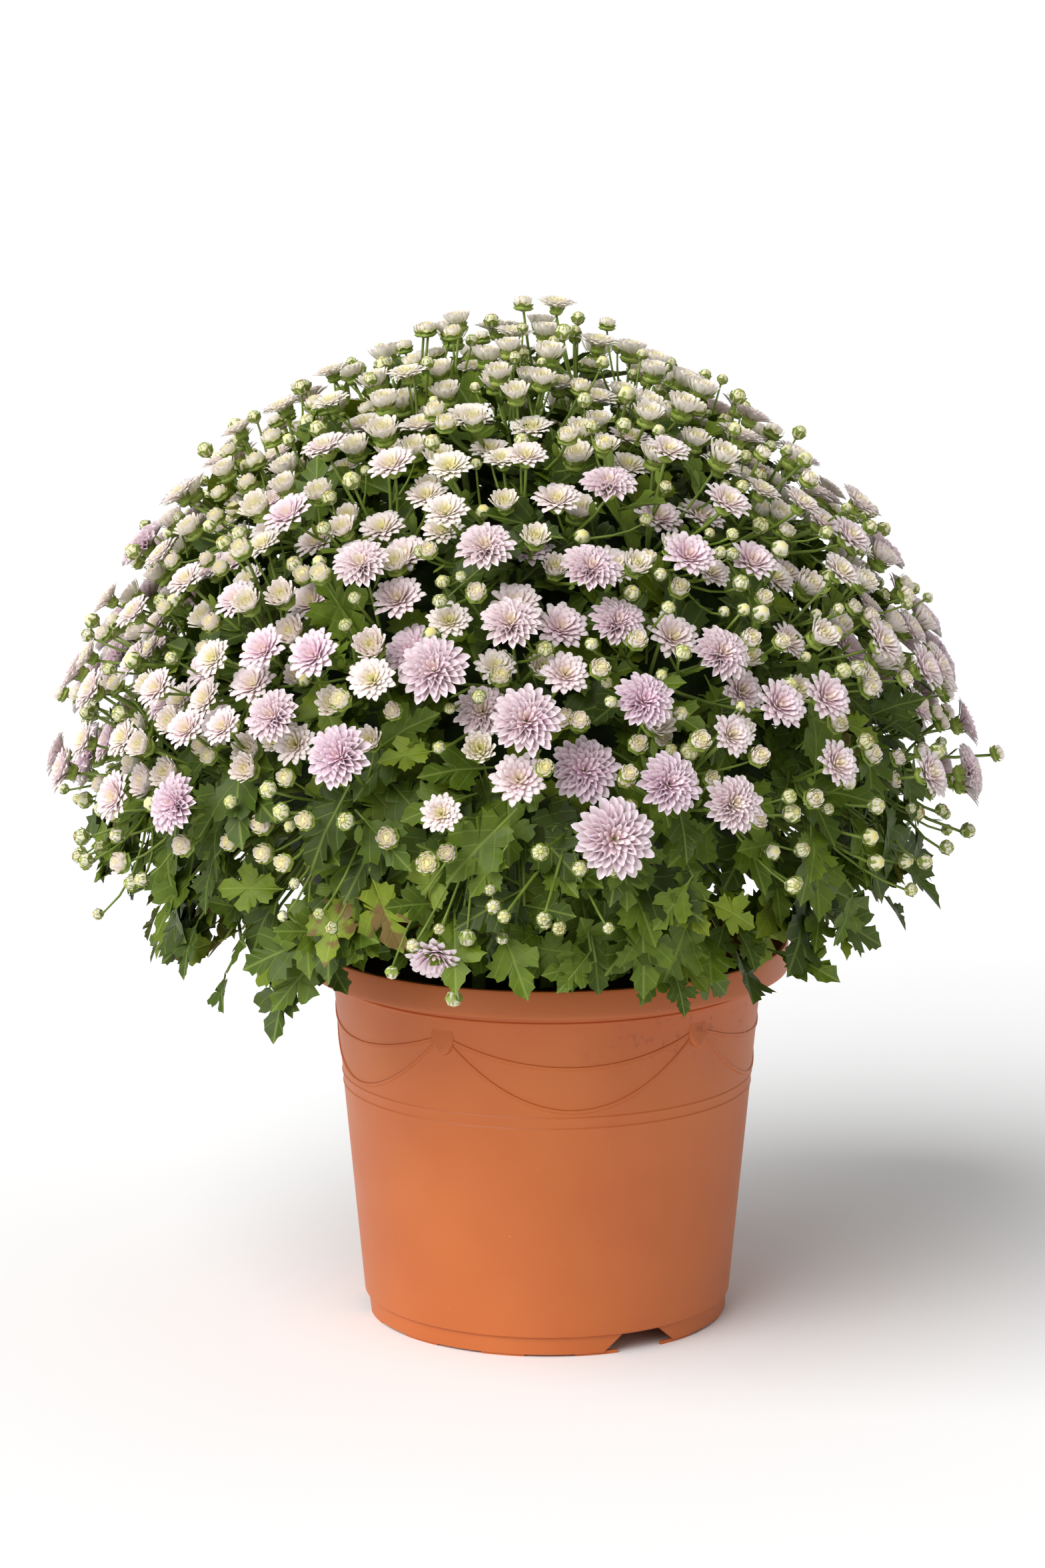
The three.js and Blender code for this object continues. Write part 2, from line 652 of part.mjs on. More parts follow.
/** Whether a blade has room inside its sector, clear of the stalks, the flowers and the pot. */
function bladeHasRoom(skin, index, segments, flowers) {
  const line = new THREE.Line3();
  const nearest = new THREE.Vector3();
  return bladeProbes(skin).every((point) => {
    if (insideSector(index, point) < HALF_SLOT + SECTOR_CLEARANCE) {
      return false;
    }
    const fromAxis = Math.hypot(point.x - POT_AXIS_X, point.y);
    if (fromAxis < RIM_RADIUS + POT_CLEARANCE && point.z < POT_HEIGHT + POT_CLEARANCE) {
      return false;
    }
    const crowded = segments.some(([from, to]) => {
      line.set(from, to).closestPointToPoint(point, true, nearest);
      return nearest.distanceTo(point) < STALK_CLEARANCE;
    });
    return !crowded && !flowers.some((flower) => touchesHead(point, flower));
  });
}

/** Leaves that stand out of the core under the flowers. */
function domeLeaves(index, random, segments, flowers) {
  const blades = [];
  const middles = [];
  for (let i = 0; i < LEAF_TRIES && blades.length < DOME_LEAVES; i += 1) {
    const bearing = stemBearing(index) + (random() - 0.5) * (360 / STEM_COUNT);
    const elevation = THREE.MathUtils.lerp(...LEAF_ELEVATIONS, random());
    const lean = THREE.MathUtils.lerp(...LEAF_LEANS, random());
    const spin = 360 * random();
    const size = THREE.MathUtils.lerp(...LEAF_SIZES, random());
    const unit = direction(bearing, elevation);
    const [side, up] = across(unit);
    const flat = side.clone().multiplyScalar(Math.cos(radians(spin)))
      .addScaledVector(up, Math.sin(radians(spin)));
    const along = flat.multiplyScalar(Math.cos(radians(lean)))
      .addScaledVector(unit, Math.sin(radians(lean)));
    const root = fromCentre(unit, CORE_RADIUS - LEAF_SUNK);
    const middle = root.clone().addScaledVector(along, LEAF_LENGTH * LEAF_MIDDLE);
    if (middles.some((other) => other.distanceTo(middle) < LEAF_SPACING)) {
      continue;
    }
    const blade = leafBlade(
      LOBES.five, root, along, unit, LEAF_LENGTH * size, LEAF_WIDTH * size);
    const low = blade.points.every((point) => point.distanceTo(BUSH_CENTRE) < LEAF_CEILING);
    if (low && bladeHasRoom(blade, index, segments, flowers)) {
      blades.push(solid(blade.geometry()));
      middles.push(middle);
    }
  }
  return blades;
}

/** A side shoot of the skirt: a thin stem with a leaf at its tip and leaves along it. */
function skirtShoot(index, bearing, elevation, tipReach, segments, flowers) {
  const unit = direction(bearing, elevation);
  const droop = direction(bearing, elevation - SHOOT_DROOP);
  const root = fromCentre(unit, SHOOT_ROOT_REACH);
  const tip = fromCentre(unit, tipReach);
  const [side] = across(unit);
  const facing = new THREE.Vector3(0, 0, 1).addScaledVector(unit, SHOOT_FACING).normalize();
  const leaves = [];
  for (const { lobes, share, turn, size } of SHOOT_LEAVES) {
    const start = root.clone().lerp(tip, share).addScaledVector(unit, -SHOOT_RADIUS);
    const along = droop.clone().addScaledVector(side, turn).normalize();
    const blade = leafBlade(
      LOBES[lobes], start, along, facing, LEAF_LENGTH * size, LEAF_WIDTH * size);
    if (bladeHasRoom(blade, index, segments, flowers)) {
      leaves.push(solid(blade.geometry()));
    }
  }
  const stem = solid(bar(root, tip, SHOOT_RADIUS, SHOOT_TIP_RADIUS, 3));
  return leaves.length > 0 ? [stem, ...leaves] : [];
}

/** The skirt: side shoots round the bottom of the bush. */
function skirtShoots(index, random, segments, flowers) {
  return SHOOT_OFFSETS.flatMap((offset) => {
    const bearing = stemBearing(index) + offset + SHOOT_BEARING_SPREAD * (random() - 0.5);
    const elevation = SHOOT_ELEVATION + SHOOT_ELEVATION_SPREAD * (random() - 0.5);
    const tipReach = SHOOT_REACH + SHOOT_REACH_SPREAD * (random() - 0.5);
    return skirtShoot(index, bearing, elevation, tipReach, segments, flowers);
  });
}

function leafyStemGeometry(index, core, segments, flowers) {
  const leafDraws = seededRandom(LEAF_SEED + index);
  const shootDraws = seededRandom(SHOOT_SEED + index);
  const trunk = bar(
    stemPlace(index, STEM_FOOT_HEIGHT + GAP), stemPlace(index, STEM_TOP_HEIGHT),
    STEM_RADIUS, STEM_TOP_RADIUS, STEM_SIDES);
  const pieces = [
    core, solid(trunk),
    ...domeLeaves(index, leafDraws, segments, flowers),
    ...skirtShoots(index, shootDraws, segments, flowers),
  ];
  return geometryOf(wasm.Manifold.union(pieces));
}

// ---------------------------------------------------------------------------------------------
// Flower sprays

/** Where a spray's stem stands on the core: the point and the face's direction. */
function seatOn(cores, unit) {
  const ray = new THREE.Raycaster(fromCentre(unit, HEAD_REACH), unit.clone().negate());
  const [hit] = cores
    .flatMap((core) => ray.intersectObject(new THREE.Mesh(core)))
    .sort((a, b) => a.distance - b.distance);
  const facing = hit.face.normal;
  return { point: hit.point.clone().addScaledVector(facing, GAP), facing };
}

/** Each spray's hub, its seat on the core, and its flowers in their order round the hub. */
function gatherSprays(flowers, cores) {
  return sprayUnits.map((unit, index) => {
    const own = flowers.filter((flower) => flower.spray === index);
    own.sort((a, b) => a.turn - b.turn);
    return { unit, flowers: own, hub: fromCentre(unit, HUB_REACH), seat: seatOn(cores, unit) };
  });
}

/** An open flower: a star of petals, with a second, smaller star above it on the large ones. */
function addOpenHead(skin, flower, neck, phase) {
  const { centre, facing, diameter } = flower;
  const rim = skin.loop(ring(
    centre, facing, 2 * PETALS, phase, [0.5 * diameter, 0.39 * diameter], [0, -0.04 * diameter]));
  skin.bridge(neck, rim);
  let inner = rim;
  if (diameter >= DOUBLE_DIAMETER) {
    const valley = skin.loop(ring(
      centre, facing, PETALS, phase, [0.23 * diameter], [0.03 * diameter]));
    const between = phase + Math.PI / PETALS;
    inner = skin.loop(ring(
      centre, facing, PETALS, between, [0.34 * diameter], [0.13 * diameter]));
    skin.bridge(rim, valley);
    skin.bridge(valley, inner);
  }
  skin.fan(inner, centre.clone().addScaledVector(facing, 0.08 * diameter));
}

/** A half-open flower: a cup with an uneven rim. */
function addHalfOpenHead(skin, flower, neck, phase) {
  const { centre, facing, diameter } = flower;
  const rim = skin.loop(ring(
    centre, facing, PETALS, phase, [0.5 * diameter, 0.45 * diameter], [0, -0.14 * diameter]));
  skin.bridge(neck, rim);
  skin.fan(rim, centre.clone().addScaledVector(facing, 0.06 * diameter));
}

/** A bud: a small knob. */
function addBudHead(skin, flower, neck, phase) {
  const { centre, facing, diameter } = flower;
  const belt = skin.loop(ring(centre, facing, 4, phase, [0.5 * diameter], [-0.4 * diameter]));
  skin.bridge(neck, belt);
  skin.fan(belt, centre);
}

/** One stalk from its share of the hub, with the flower head at its end. */
function addFlower(skin, flower, foot) {
  const middle = foot.reduce((sum, corner) => sum.add(skin.points[corner]), new THREE.Vector3())
    .multiplyScalar(1 / foot.length);
  const turns = foot.map((corner, i) => {
    const angle = angleRound(skin.points[corner], middle, flower.facing) - (i * 2 * Math.PI) / 3;
    return new THREE.Vector2(Math.cos(angle), Math.sin(angle));
  });
  const mean = turns.reduce((sum, turn) => sum.add(turn), new THREE.Vector2());
  const phase = Math.atan2(mean.y, mean.x);
  const neck = skin.loop(ring(flower.neck, flower.facing, 3, phase, [NECK_RADIUS], [0]));
  skin.bridge(foot, neck);
  const addHead = { open: addOpenHead, half: addHalfOpenHead, bud: addBudHead }[flower.kind];
  addHead(skin, flower, neck, phase);
}

/** A spray: a stem from its seat to a hub, where it parts into the stalks of its flowers. */
function sprayGeometry(spray) {
  const skin = new Skin();
  const count = spray.flowers.length;
  const edges = spray.flowers.map((flower, i) => {
    const next = spray.flowers[(i + 1) % count].turn + (i + 1 === count ? 2 * Math.PI : 0);
    return (flower.turn + next) / 2;
  });
  const [side, up] = across(spray.unit);
  const hubRing = skin.loop(edges.map((angle) => spray.hub.clone()
    .addScaledVector(side, HUB_RADIUS * Math.cos(angle))
    .addScaledVector(up, HUB_RADIUS * Math.sin(angle))));
  const [peak] = skin.loop([spray.hub.clone().addScaledVector(spray.unit, HUB_RISE)]);
  const phase = edges[0];
  const { point, facing } = spray.seat;
  const seat = skin.loop(ring(point, facing, 3, phase, [SEAT_RADIUS], [0]));
  skin.bridge(seat, hubRing);
  skin.triangles.push(seat[0], seat[2], seat[1]);
  spray.flowers.forEach((flower, i) => {
    const before = hubRing[(i + count - 1) % count];
    addFlower(skin, flower, [peak, before, hubRing[i]]);
  });
  return skin.geometry();
}

// ---------------------------------------------------------------------------------------------
// The whole plant

const mouldedPlastic = new THREE.MeshStandardMaterial({ color: "#b8643f", roughness: 0.55 });
const moistMix = new THREE.MeshStandardMaterial({ color: "#2c231c", roughness: 0.95 });
const leafTissue = new THREE.MeshStandardMaterial({ color: "#4a6b2c", roughness: 0.5 });
const petalTissue = new THREE.MeshStandardMaterial({ color: "#e6cfdc", roughness: 0.6 });

const plant = new THREE.Group();

function addMesh(name, geometry, material) {
  const mesh = new THREE.Mesh(geometry, material.clone());
  mesh.name = name;
  plant.add(mesh);
}

addMesh("pot", potGeometry(), mouldedPlastic);
addMesh("potting_mix", pottingMixGeometry(), moistMix);

const flowers = layOutFlowers();
const cores = Array.from({ length: STEM_COUNT }, (_, i) => coreSolid(i));
const sprays = gatherSprays(flowers, cores.map(geometryOf));
const segments = stalkSegments(sprays);
cores.forEach((core, i) => {
  addMesh(`leafy_stem_${i + 1}`, leafyStemGeometry(i, core, segments, flowers), leafTissue);
});
sprays.forEach((spray, i) => {
  addMesh(`flower_spray_${i + 1}`, sprayGeometry(spray), petalTissue);
});

export default plant;
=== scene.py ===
# %% [markdown]
# # Pot chrysanthemum
# A bushy pot chrysanthemum in flower stands in a terracotta-coloured growers' pot of moulded
# plastic. The plant is a dome of about a thousand heads on thin stalks, from flat lilac-pink
# blooms through cream half-open cups to green buds, over a dense body of lobed leaves.
#
# The frame gives the solids of the pot, the potting mix, eight leafy stems and forty-eight
# flower sprays. Lengths below are in millimetres until a piece is finished, +Z is up and -Y
# is the front. A bearing turns from the front to the right, in degrees.

import math

import bmesh
import bpy
import numpy as np
from mathutils import Matrix, Vector, noise


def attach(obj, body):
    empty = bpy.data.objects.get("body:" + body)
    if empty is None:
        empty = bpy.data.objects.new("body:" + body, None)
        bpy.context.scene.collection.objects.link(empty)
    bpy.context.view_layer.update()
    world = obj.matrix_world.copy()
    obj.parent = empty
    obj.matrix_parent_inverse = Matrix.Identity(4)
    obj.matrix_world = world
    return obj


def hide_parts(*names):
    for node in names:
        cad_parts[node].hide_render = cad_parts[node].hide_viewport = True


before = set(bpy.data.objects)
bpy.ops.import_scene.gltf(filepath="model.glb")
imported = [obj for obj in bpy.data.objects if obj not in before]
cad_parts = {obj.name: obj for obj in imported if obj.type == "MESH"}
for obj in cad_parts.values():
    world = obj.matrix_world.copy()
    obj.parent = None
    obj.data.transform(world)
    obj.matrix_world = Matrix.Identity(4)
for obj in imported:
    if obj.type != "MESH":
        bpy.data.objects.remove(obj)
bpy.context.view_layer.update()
cad_meshes = set(bpy.data.meshes)
MM = 0.001
print("solids in the frame:", len(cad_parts))

# %% [markdown]
# ## Camera and studio
# The camera stands in front of the pot, a little above the plant, and looks down slightly
# through a long lens, so that the view stays close to a front elevation. A camera object with
# plain angles is enough, because nothing moves.
#
# The floor is a pale board and the world is a pale dome. One broad soft light from the front
# left shapes the blooms and lets the pot darken towards its right side. It is a sun with a
# wide disc, because that lights the board evenly out to the edges of the view.

# %% Camera and studio
POT_AXIS_X = 8
CAMERA_PLACE = (POT_AXIS_X * MM, -2.318, 0.718)
CAMERA_DOWN = 11.29
CAMERA_TURN = 0.29
LENS_LENGTH = 114.8
FILM_HEIGHT = 36
SUN_BEARING = -44
SUN_ELEVATION = 41
SUN_DISC = 55
SUN_STRENGTH = 3.2
WORLD_STRENGTH = 0.43


def add_object(name, data):
    thing = bpy.data.objects.new(name, data)
    bpy.context.scene.collection.objects.link(thing)
    return thing


def add_camera():
    lens = bpy.data.cameras.new("front_camera")
    lens.sensor_fit = "VERTICAL"
    lens.sensor_height = FILM_HEIGHT
    lens.lens = LENS_LENGTH
    camera = add_object("front_camera", lens)
    camera.location = CAMERA_PLACE
    camera.rotation_euler = (math.radians(90 - CAMERA_DOWN), 0, math.radians(CAMERA_TURN))
    bpy.context.scene.camera = camera


def add_lights():
    lamp = bpy.data.lights.new("key_light", "SUN")
    lamp.angle = math.radians(SUN_DISC)
    lamp.energy = SUN_STRENGTH
    light = add_object("key_light", lamp)
    light.rotation_euler = (math.radians(90 - SUN_ELEVATION), 0, math.radians(SUN_BEARING))
    world = bpy.data.worlds.new("pale_dome")
    world.use_nodes = True
    background = world.node_tree.nodes["Background"]
    background.inputs["Color"].default_value = (1, 1, 1, 1)
    background.inputs["Strength"].default_value = WORLD_STRENGTH
    bpy.context.scene.world = world


add_camera()
add_lights()
bpy.context.scene.view_settings.view_transform = "Standard"
print("camera at", CAMERA_PLACE)

# %% [markdown]
# ## Materials
# Each material is a small tree of nodes on one shader. The petals, leaves and stalks read
# numbers that their pieces carry: how far a point lies along its petal, how far out the petal
# stands in its head, how ripe the head is, less painted light that pales the high heads, and
# where a point lies on its leaf blade. That keeps hundreds of blooms on one material and still
# gives each its own colour.

# %% Material helpers
# The parts that a material is put together from: the kind of node, its settings, the inputs
# that are given in order, and the output that is passed on.
NODE_PARTS = {
    "place": ("TexCoord", {}, (), "Object"),
    "axes": ("SeparateXYZ", {}, ("Vector",), "Z"),
    "carried": ("Attribute", {}, (), "Fac"),
    "speckle": ("TexNoise", {"noise_dimensions": "4D"}, ("Vector", "Scale", "Detail", "W"), "Fac"),
    "ramp": ("ValToRGB", {}, ("Fac",), "Color"),
    "blend": ("Mix", {"data_type": "RGBA"}, (0, 6, 7), 2),
    "span": (
        "MapRange", {"interpolation_type": "SMOOTHSTEP"}, ("Value", "From Min", "From Max"),
        "Result"),
    "rescale": ("MapRange", {}, ("Value", "To Min", "To Max"), "Result"),
    "plus": ("Math", {"operation": "ADD"}, (0, 1), 0),
    "less": ("Math", {"operation": "SUBTRACT"}, (0, 1), 0),
    "times": ("Math", {"operation": "MULTIPLY"}, (0, 1), 0),
    "larger": ("Math", {"operation": "MAXIMUM"}, (0, 1), 0),
    "unsigned": ("Math", {"operation": "ABSOLUTE"}, (0, 1), 0),
    "fraction": ("Math", {"operation": "FRACT"}, (0, 1), 0),
    "bump": ("Bump", {}, ("Height", "Distance", "Strength"), "Normal"),
}


def linear(code):
    """A colour written as sRGB hex, turned to linear numbers with full alpha."""
    channels = [int(code[i:i + 2], 16) / 255 for i in (1, 3, 5)]
    return tuple(
        c / 12.92 if c <= 0.04045 else ((c + 0.055) / 1.055) ** 2.4 for c in channels) + (1.0,)


def per_metre(size_mm):
    """The scale of a pattern whose patches are about the given size."""
    return 1000 / size_mm


class Look:
    """A material with one shader and the nodes that feed it."""

    def __init__(self, name, roughness, specular):
        self.material = bpy.data.materials.new(name)
        self.material.use_nodes = True
        self.tree = self.material.node_tree
        self.shader = self.tree.nodes["Principled BSDF"]
        self.shade({"Roughness": roughness, "Specular IOR Level": specular})

    def feed(self, node, inputs):
        """Gives a node its inputs, each one as a link, a hex colour or plain numbers."""
        for place, value in inputs.items():
            if isinstance(value, bpy.types.NodeSocket):
                self.tree.links.new(value, node.inputs[place])
            else:
                given = linear(value) if isinstance(value, str) else value
                node.inputs[place].default_value = given

    def shade(self, inputs):
        self.feed(self.shader, inputs)

    def add(self, part, *values, **settings):
        """Adds a node with its settings and links; values past its inputs are colour stops."""
        kind, fixed, inputs, output = NODE_PARTS[part]
        node = self.tree.nodes.new("ShaderNode" + kind)
        for name, value in {**fixed, **settings}.items():
            setattr(node, name, value)
        self.feed(node, dict(zip(inputs, values)))
        stops = values[len(inputs):]
        for _ in stops[2:]:
            node.color_ramp.elements.new(0.5)
        for i, (place, code) in enumerate(stops):
            node.color_ramp.elements[i].position = place
            node.color_ramp.elements[i].color = linear(code)
        return node.outputs[output]


# %% Materials


def petal_material():
    """Petal tissue: soft and matt, cream in young heads and lilac pink in ripe ones."""
    look = Look("petal_tissue", 0.62, 0.25)
    add = look.add
    along, ring, ripe = [add("carried", attribute_name=name) for name in ("along", "ring", "ripe")]
    ripe_ray = add(
        "ramp", along, (0.0, "#CE8FB5"), (0.35, "#E8B8D2"), (0.7, "#F0CFDF"), (1.0, "#F6E3EC"))
    young_ray = add(
        "ramp", along, (0.0, "#EAE1A8"), (0.35, "#FBF2D2"), (0.75, "#FEF6E6"), (1.0, "#FDEEE7"))
    ray = add("blend", ripe, young_ray, ripe_ray)
    heart = add(
        "ramp", along, (0.0, "#ACAA48"), (0.4, "#E0D67E"), (0.75, "#F5EBAC"), (1.0, "#FAF2C6"))
    reach = add("plus", ring, add("times", ripe, 0.3))
    colour = add("blend", add("span", reach, 0.1, 0.4), heart, ray)
    patch = add("span", add("speckle", add("place"), per_metre(14), 3.0), 0.35, 0.75)
    look.shade({
        "Base Color": add("blend", add("times", patch, 0.25), colour, "#F8EEE8"),
        "Subsurface Weight": 0.4, "Subsurface Radius": (1.0, 0.8, 0.75),
        "Subsurface Scale": 0.003, "Sheen Weight": 0.15,
    })
    cells = add("speckle", add("place"), per_metre(0.8), 2.0)
    look.shade({"Normal": add("bump", cells, 0.06 * MM, 0.5)})
    return look.material


def green_material():
    """Green tissue of the stalks and bracts: satin, with red-brown edges on some bracts."""
    look = Look("stalk_tissue", 0.5, 0.4)
    add = look.add
    along = add("carried", attribute_name="along")
    stalk = add(
        "ramp", add("speckle", add("place"), per_metre(9), 3.0), (0.3, "#5C7422"), (0.7, "#80923A"))
    bract = add(
        "ramp", add("speckle", add("place"), per_metre(6), 3.0), (0.3, "#6E8A26"), (0.7, "#A0AE54"))
    base = add("blend", add("carried", attribute_name="ring"), stalk, bract)
    tip = add("span", along, 0.8, 1.0)
    rusty = add("span", add("speckle", add("place"), per_metre(20), 2.0, 5.0), 0.5, 0.62)
    look.shade({"Base Color": add("blend", add("times", tip, rusty), base, "#8A5A3A")})
    cells = add("speckle", add("place"), per_metre(1.2), 2.0)
    look.shade({"Normal": add("bump", cells, 0.08 * MM, 0.5)})
    return look.material


def leaf_material():
    """Leaf tissue: satin green with paler veins, and tan patches on a few old leaves."""
    look = Look("leaf_tissue", 0.5, 0.3)
    add = look.add
    blade_x = add("carried", attribute_name="blade_x")
    blade_y = add("unsigned", add("carried", attribute_name="blade_y"), 0.0)
    tint = add("carried", attribute_name="tint")
    base = add(
        "ramp", tint, (0.0, "#34430A"), (0.45, "#495E0C"), (0.8, "#637814"), (1.0, "#7E8E20"))
    mottle = add("span", add("speckle", add("place"), per_metre(7), 3.0), 0.35, 0.75)
    base = add("blend", add("times", mottle, 0.35), base, "#2C4009")
    midrib = add("less", 1.0, add("span", blade_y, 0.0, 0.035))
    slant = add("less", blade_x, add("times", blade_y, 0.9))
    wave = add("less", add("fraction", add("times", slant, 5.0), 0.0), 0.5)
    side_veins = add("less", 1.0, add("span", add("unsigned", wave, 0.0), 0.0, 0.09))
    veins = add("larger", midrib, add("times", side_veins, 0.55))
    colour = add("blend", add("times", veins, 0.4), base, "#93A84E")
    old = add("span", tint, 0.98, 0.985)
    spots = add("span", add("speckle", add("place"), per_metre(12), 3.0, 9.0), 0.5, 0.56)
    look.shade({"Base Color": add("blend", add("times", old, spots), colour, "#755F30")})
    height = add("less", add("speckle", add("place"), per_metre(2.5), 3.0), veins)
    look.shade({"Normal": add("bump", height, 0.35 * MM, 0.6)})
    return look.material


def plastic_material():
    """Moulded polypropylene, terracotta-coloured: satin, with faint painted shade in spots under the
    rim on the right.
    """
    look = Look("moulded_polypropylene", 0.46, 0.5)
    add = look.add
    base = add(
        "ramp", add("speckle", add("place"), per_metre(60), 2.0), (0.3, "#BA5F27"), (0.7, "#C2682D"))
    axes = add("axes", add("place")).node.outputs
    # Painted shade: a band under the collar, on the right side away from the light, darkened in spots
    # towards deep red-brown.
    low = add("span", axes["Z"], 0.138, 0.150)
    high = add("less", 1.0, add("span", axes["Z"], 0.160, 0.166))
    collar_shade_band = add("times", low, high)
    right = add("span", axes["X"], 0.01, 0.06)
    spots = add("span", add("speckle", add("place"), per_metre(5), 5.0, 3.0), 0.56, 0.66)
    painted_shade = add("times", add("times", collar_shade_band, right), spots)
    colour = add("blend", add("times", painted_shade, 0.45), base, "#8E3A28")
    specks = add("span", add("speckle", add("place"), per_metre(1.6), 1.0, 7.0), 0.79, 0.82)
    look.shade({"Base Color": add("blend", add("times", specks, 0.5), colour, "#E9B79A")})
    wear = add("speckle", add("place"), per_metre(25), 3.0)
    look.shade({"Roughness": add("rescale", wear, 0.4, 0.56)})
    grain = add("speckle", add("place"), per_metre(0.7), 2.0)
    look.shade({"Normal": add("bump", grain, 0.02 * MM, 0.4)})
    return look.material


def rough_material(name, roughness, specular, size_mm, stops, bump=None):
    """A matt, mottled material: inner foliage dark with painted shade, potting mix or painted board.

    A bump is given by the size of its grain, its detail and its height.
    """
    look = Look(name, roughness, specular)
    add = look.add
    mottle = add("speckle", add("place"), per_metre(size_mm), 3.0)
    look.shade({"Base Color": add("ramp", mottle, *stops)})
    if bump:
        grain_mm, detail, height = bump
        grain = add("speckle", add("place"), per_metre(grain_mm), detail)
        look.shade({"Normal": add("bump", grain, height * MM)})
    return look.material


PETAL = petal_material()
GREEN = green_material()
LEAF = leaf_material()
# The inner foliage is coloured near black: painted shade for the deep inside of the bush.
SHADE = rough_material(
    "painted_shade_foliage", 0.7, 0.2, 12, [(0.35, "#141E06"), (0.7, "#2E3F10")], (10, 3.0, 3.0))
MIX = rough_material(
    "moist_potting_mix", 0.95, 0.2, 2.5,
    [(0.3, "#17110C"), (0.62, "#33261B"), (0.75, "#6A5238")], (2.0, 4.0, 0.8))
PLASTIC = plastic_material()
BOARD = rough_material("pale_painted_board", 0.9, 0.1, 400, [(0.3, "#F9F9F9"), (0.7, "#FCFCFC")])
print("materials:", ", ".join(m.name for m in (PETAL, GREEN, LEAF, SHADE, MIX, PLASTIC)))

# %% [markdown]
# ## Helpers for pieces
# A piece is gathered in one bmesh in millimetres and scaled to metres as it is finished, so
# its object stays at the origin, unturned and unscaled. Its parts are copies of templates,
# each made once by an operator in a mesh of its own. Random draws come from a small seeded
# generator, the same as in the solid model, so both place the flowers alike.

# %% Helpers for pieces
FLOAT_LAYERS = ("along", "ring", "ripe", "blade_x", "blade_y", "tint")
MERGE_DISTANCE = 1e-4
piece_triangles = {}


def seeded(seed):
    """Numbers from 0 to 1 that are the same on every run."""
    state = seed
    while True:
        state = (state * 1664525 + 1013904223) % 4294967296
        yield state / 4294967296


def smooth_step(low, high, value):
    share = min(1.0, max(0.0, (value - low) / (high - low)))
    return share * share * (3 - 2 * share)


def mix(low, high, share):
    return low + (high - low) * share


def new_bmesh():
    bm = bmesh.new()
    for name in FLOAT_LAYERS:
        bm.verts.layers.float.new(name)
    return bm


def set_layers(bm, verts, **values):
    for name, value in values.items():
        layer = bm.verts.layers.float[name]
        for vert in verts:
            vert[layer] = value


def to_mesh(name, bm, smooth=True):
    mesh = bpy.data.meshes.new(name)
    for face in bm.faces:
        face.smooth = smooth
    bm.to_mesh(mesh)
    bm.free()
    return mesh


def add_copy(bm, template, matrix, material=None, **values):
    """Adds a template mesh, placed by a matrix, with its material and its layers' values."""
    first = len(bm.verts)
    first_face = len(bm.faces)
    bm.from_mesh(template)
    bm.verts.ensure_lookup_table()
    new = bm.verts[first:]
    bmesh.ops.transform(bm, matrix=matrix, verts=new)
    set_layers(bm, new, **values)
    if material is not None:
        bm.faces.ensure_lookup_table()
        for face in bm.faces[first_face:]:
            face.material_index = material
    return new


def finish_piece(name, bm, materials, node):
    """Makes a piece's object, hangs it under the root body and hides the solid of its node."""
    bmesh.ops.scale(bm, vec=(MM, MM, MM), verts=bm.verts)
    mesh = to_mesh(name, bm)
    for material in materials:
        mesh.materials.append(material)
    piece = add_object(name, mesh)
    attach(piece, "root")
    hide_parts(node)
    mesh.calc_loop_triangles()
    piece_triangles[name] = len(mesh.loop_triangles)


def rotation(degrees, axis="Z"):
    return Matrix.Rotation(math.radians(degrees), 4, axis)


def stretch(x, y, z):
    return Matrix.Diagonal((x, y, z, 1))


def aimed(aim):
    """A turn that brings +Z onto a direction."""
    return Vector(aim).to_track_quat("Z", "Y").to_matrix().to_4x4()


def bumps(place, layers):
    """Noise in layers, each given by the width and the height of its bumps."""
    return sum(noise.noise(place / width) * height for width, height in layers)


def turned_profile(bm, profile, steps):
    """Turns a closed profile of radii and heights into a solid of revolution."""
    verts = [bm.verts.new((radius, 0, height)) for radius, height in profile]
    edges = [bm.edges.new((a, b)) for a, b in zip(verts, verts[1:])]
    bmesh.ops.spin(
        bm, geom=verts + edges, cent=(0, 0, 0), axis=(0, 0, 1), angle=2 * math.pi,
        steps=steps, use_merge=True)
    bmesh.ops.remove_doubles(bm, verts=bm.verts, dist=MERGE_DISTANCE)
    bmesh.ops.recalc_face_normals(bm, faces=bm.faces)


def tube_template(sides, cuts):
    """A tube 1 in radius along +Z from 0 to 1, with rings of vertices to bend it at."""
    bm = new_bmesh()
    bmesh.ops.create_cone(
        bm, cap_ends=True, cap_tris=False, segments=sides, radius1=1, radius2=1, depth=1)
    upright = [edge for edge in bm.edges if abs(edge.verts[0].co.z - edge.verts[1].co.z) > 0.5]
    bmesh.ops.subdivide_edges(bm, edges=upright, cuts=cuts, use_grid_fill=True)
    bmesh.ops.translate(bm, vec=(0, 0, 0.5), verts=bm.verts)
    along = bm.verts.layers.float["along"]
    for vert in bm.verts:
        vert[along] = 0.5 * vert.co.z
    return to_mesh("tube", bm)


STALK_TUBE = tube_template(4, 3)
LEAF_TUBE = tube_template(3, 2)


def curve_point(points, share):
    """A point on the smooth curve from the first to the last of three points."""
    start, middle, end = points
    rest = 1 - share
    return start * rest * rest + middle * (2 * rest * share) + end * share * share


def add_tube(bm, template, points, radii, material):
    """Bends a copy of the tube along a curve, with its first and last radius."""
    new = add_copy(bm, template, Matrix(), material)
    direction = (points[2] - points[0]).normalized()
    side = direction.orthogonal().normalized()
    up = direction.cross(side)
    for vert in new:
        share = vert.co.z
        radius = mix(radii[0], radii[1], share)
        offset = side * vert.co.x + up * vert.co.y
        vert.co = curve_point(points, share) + offset * radius


